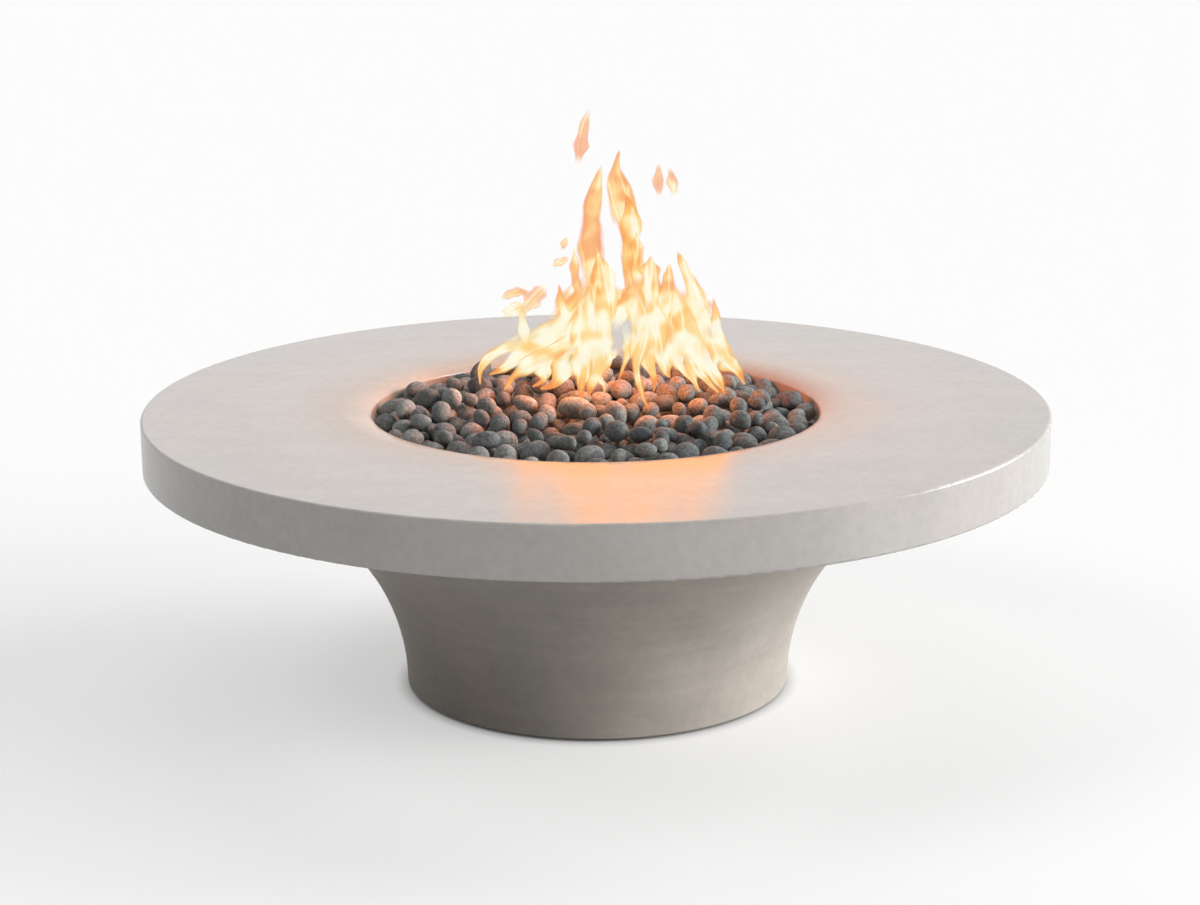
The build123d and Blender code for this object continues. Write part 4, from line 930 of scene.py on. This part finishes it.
def make_world():
    """White to the eye and in reflections, and no light to anything else."""
    world = bpy.data.worlds.new("studio")
    world.use_nodes = True
    nodes = world.node_tree.nodes
    links = world.node_tree.links
    nodes.clear()
    path = nodes.new("ShaderNodeLightPath").outputs
    seen = path["Is Camera Ray"]
    for kind in ("Is Glossy Ray", "Is Transmission Ray"):
        step = nodes.new("ShaderNodeMath")
        step.operation = "MAXIMUM"
        links.new(seen, step.inputs[0])
        links.new(path[kind], step.inputs[1])
        seen = step.outputs[0]
    strength = nodes.new("ShaderNodeMapRange")
    strength.inputs["To Max"].default_value = SEEN_WHITE
    links.new(seen, strength.inputs["Value"])
    sky = nodes.new("ShaderNodeBackground")
    sky.inputs["Color"].default_value = (1.0, 1.0, 1.0, 1.0)
    links.new(strength.outputs["Result"], sky.inputs["Strength"])
    output = nodes.new("ShaderNodeOutputWorld")
    links.new(sky.outputs[0], output.inputs["Surface"])
    bpy.context.scene.world = world


def make_sun(name, azimuth, elevation, strength, spread):
    """Wide soft lamp from an azimuth measured from the camera's side towards +X."""
    lamp = bpy.data.lights.new(name, "SUN")
    lamp.energy = strength
    lamp.angle = math.radians(spread)
    turn = math.radians(azimuth)
    rise = math.radians(elevation)
    towards = Vector((math.sin(turn) * math.cos(rise), -math.cos(turn) * math.cos(rise), math.sin(rise)))
    light = bpy.data.objects.new(name, lamp)
    light.rotation_euler = towards.to_track_quat("Z", "Y").to_euler()
    light.visible_glossy = name in SHINING_LIGHTS
    bpy.context.scene.collection.objects.link(light)


def make_glow():
    """Warm lamps inside the flame."""
    for name, (place, energy, colour) in GLOW_LAMPS.items():
        lamp = bpy.data.lights.new("glow_" + name, "POINT")
        lamp.energy = energy
        lamp.color = colour
        lamp.shadow_soft_size = GLOW_RADIUS
        light = bpy.data.objects.new("glow_" + name, lamp)
        light.location = place
        light.visible_camera = False
        light.visible_glossy = False
        bpy.context.scene.collection.objects.link(light)


def camera_axes():
    """Right, up and forward of the photograph's camera."""
    forward = Vector((
        math.sin(CAMERA_YAW) * math.cos(CAMERA_PITCH),
        math.cos(CAMERA_YAW) * math.cos(CAMERA_PITCH),
        -math.sin(CAMERA_PITCH),
    ))
    level = Vector((math.cos(CAMERA_YAW), -math.sin(CAMERA_YAW), 0.0))
    upright = level.cross(forward)
    right = math.cos(CAMERA_ROLL) * level + math.sin(CAMERA_ROLL) * upright
    up = math.cos(CAMERA_ROLL) * upright - math.sin(CAMERA_ROLL) * level
    return right, up, forward


def make_camera():
    """Camera at the photograph's place, angle and lens."""
    right, up, forward = camera_axes()
    data = bpy.data.cameras.new("camera")
    data.sensor_fit = "HORIZONTAL"
    data.sensor_width = SENSOR_WIDTH
    data.lens = FOCAL_PIXELS / PHOTO_WIDTH * SENSOR_WIDTH
    camera = bpy.data.objects.new("camera", data)
    turn = Matrix((right, up, -forward)).transposed()
    camera.matrix_world = Matrix.Translation(CAMERA_PLACE) @ turn.to_4x4()
    bpy.context.scene.collection.objects.link(camera)
    bpy.context.scene.camera = camera


finishes = dress_nodes()
stone_rng = np.random.default_rng(STONE_SEED)
for layer_name in ("lava_stones_lower", "lava_stones_upper"):
    lava_stones(layer_name, finishes["lava_stone"], stone_rng)
granule_bed(finishes["lava_granules"])
pressed_springs()
flame()
make_floor()
make_world()
for lamp_name, lamp_values in STUDIO_LIGHTS.items():
    make_sun(lamp_name, *lamp_values)
make_glow()
make_camera()
bpy.context.scene.view_settings.view_transform = "Standard"
bpy.context.scene.cycles.transparent_max_bounces = CLEAR_BOUNCES
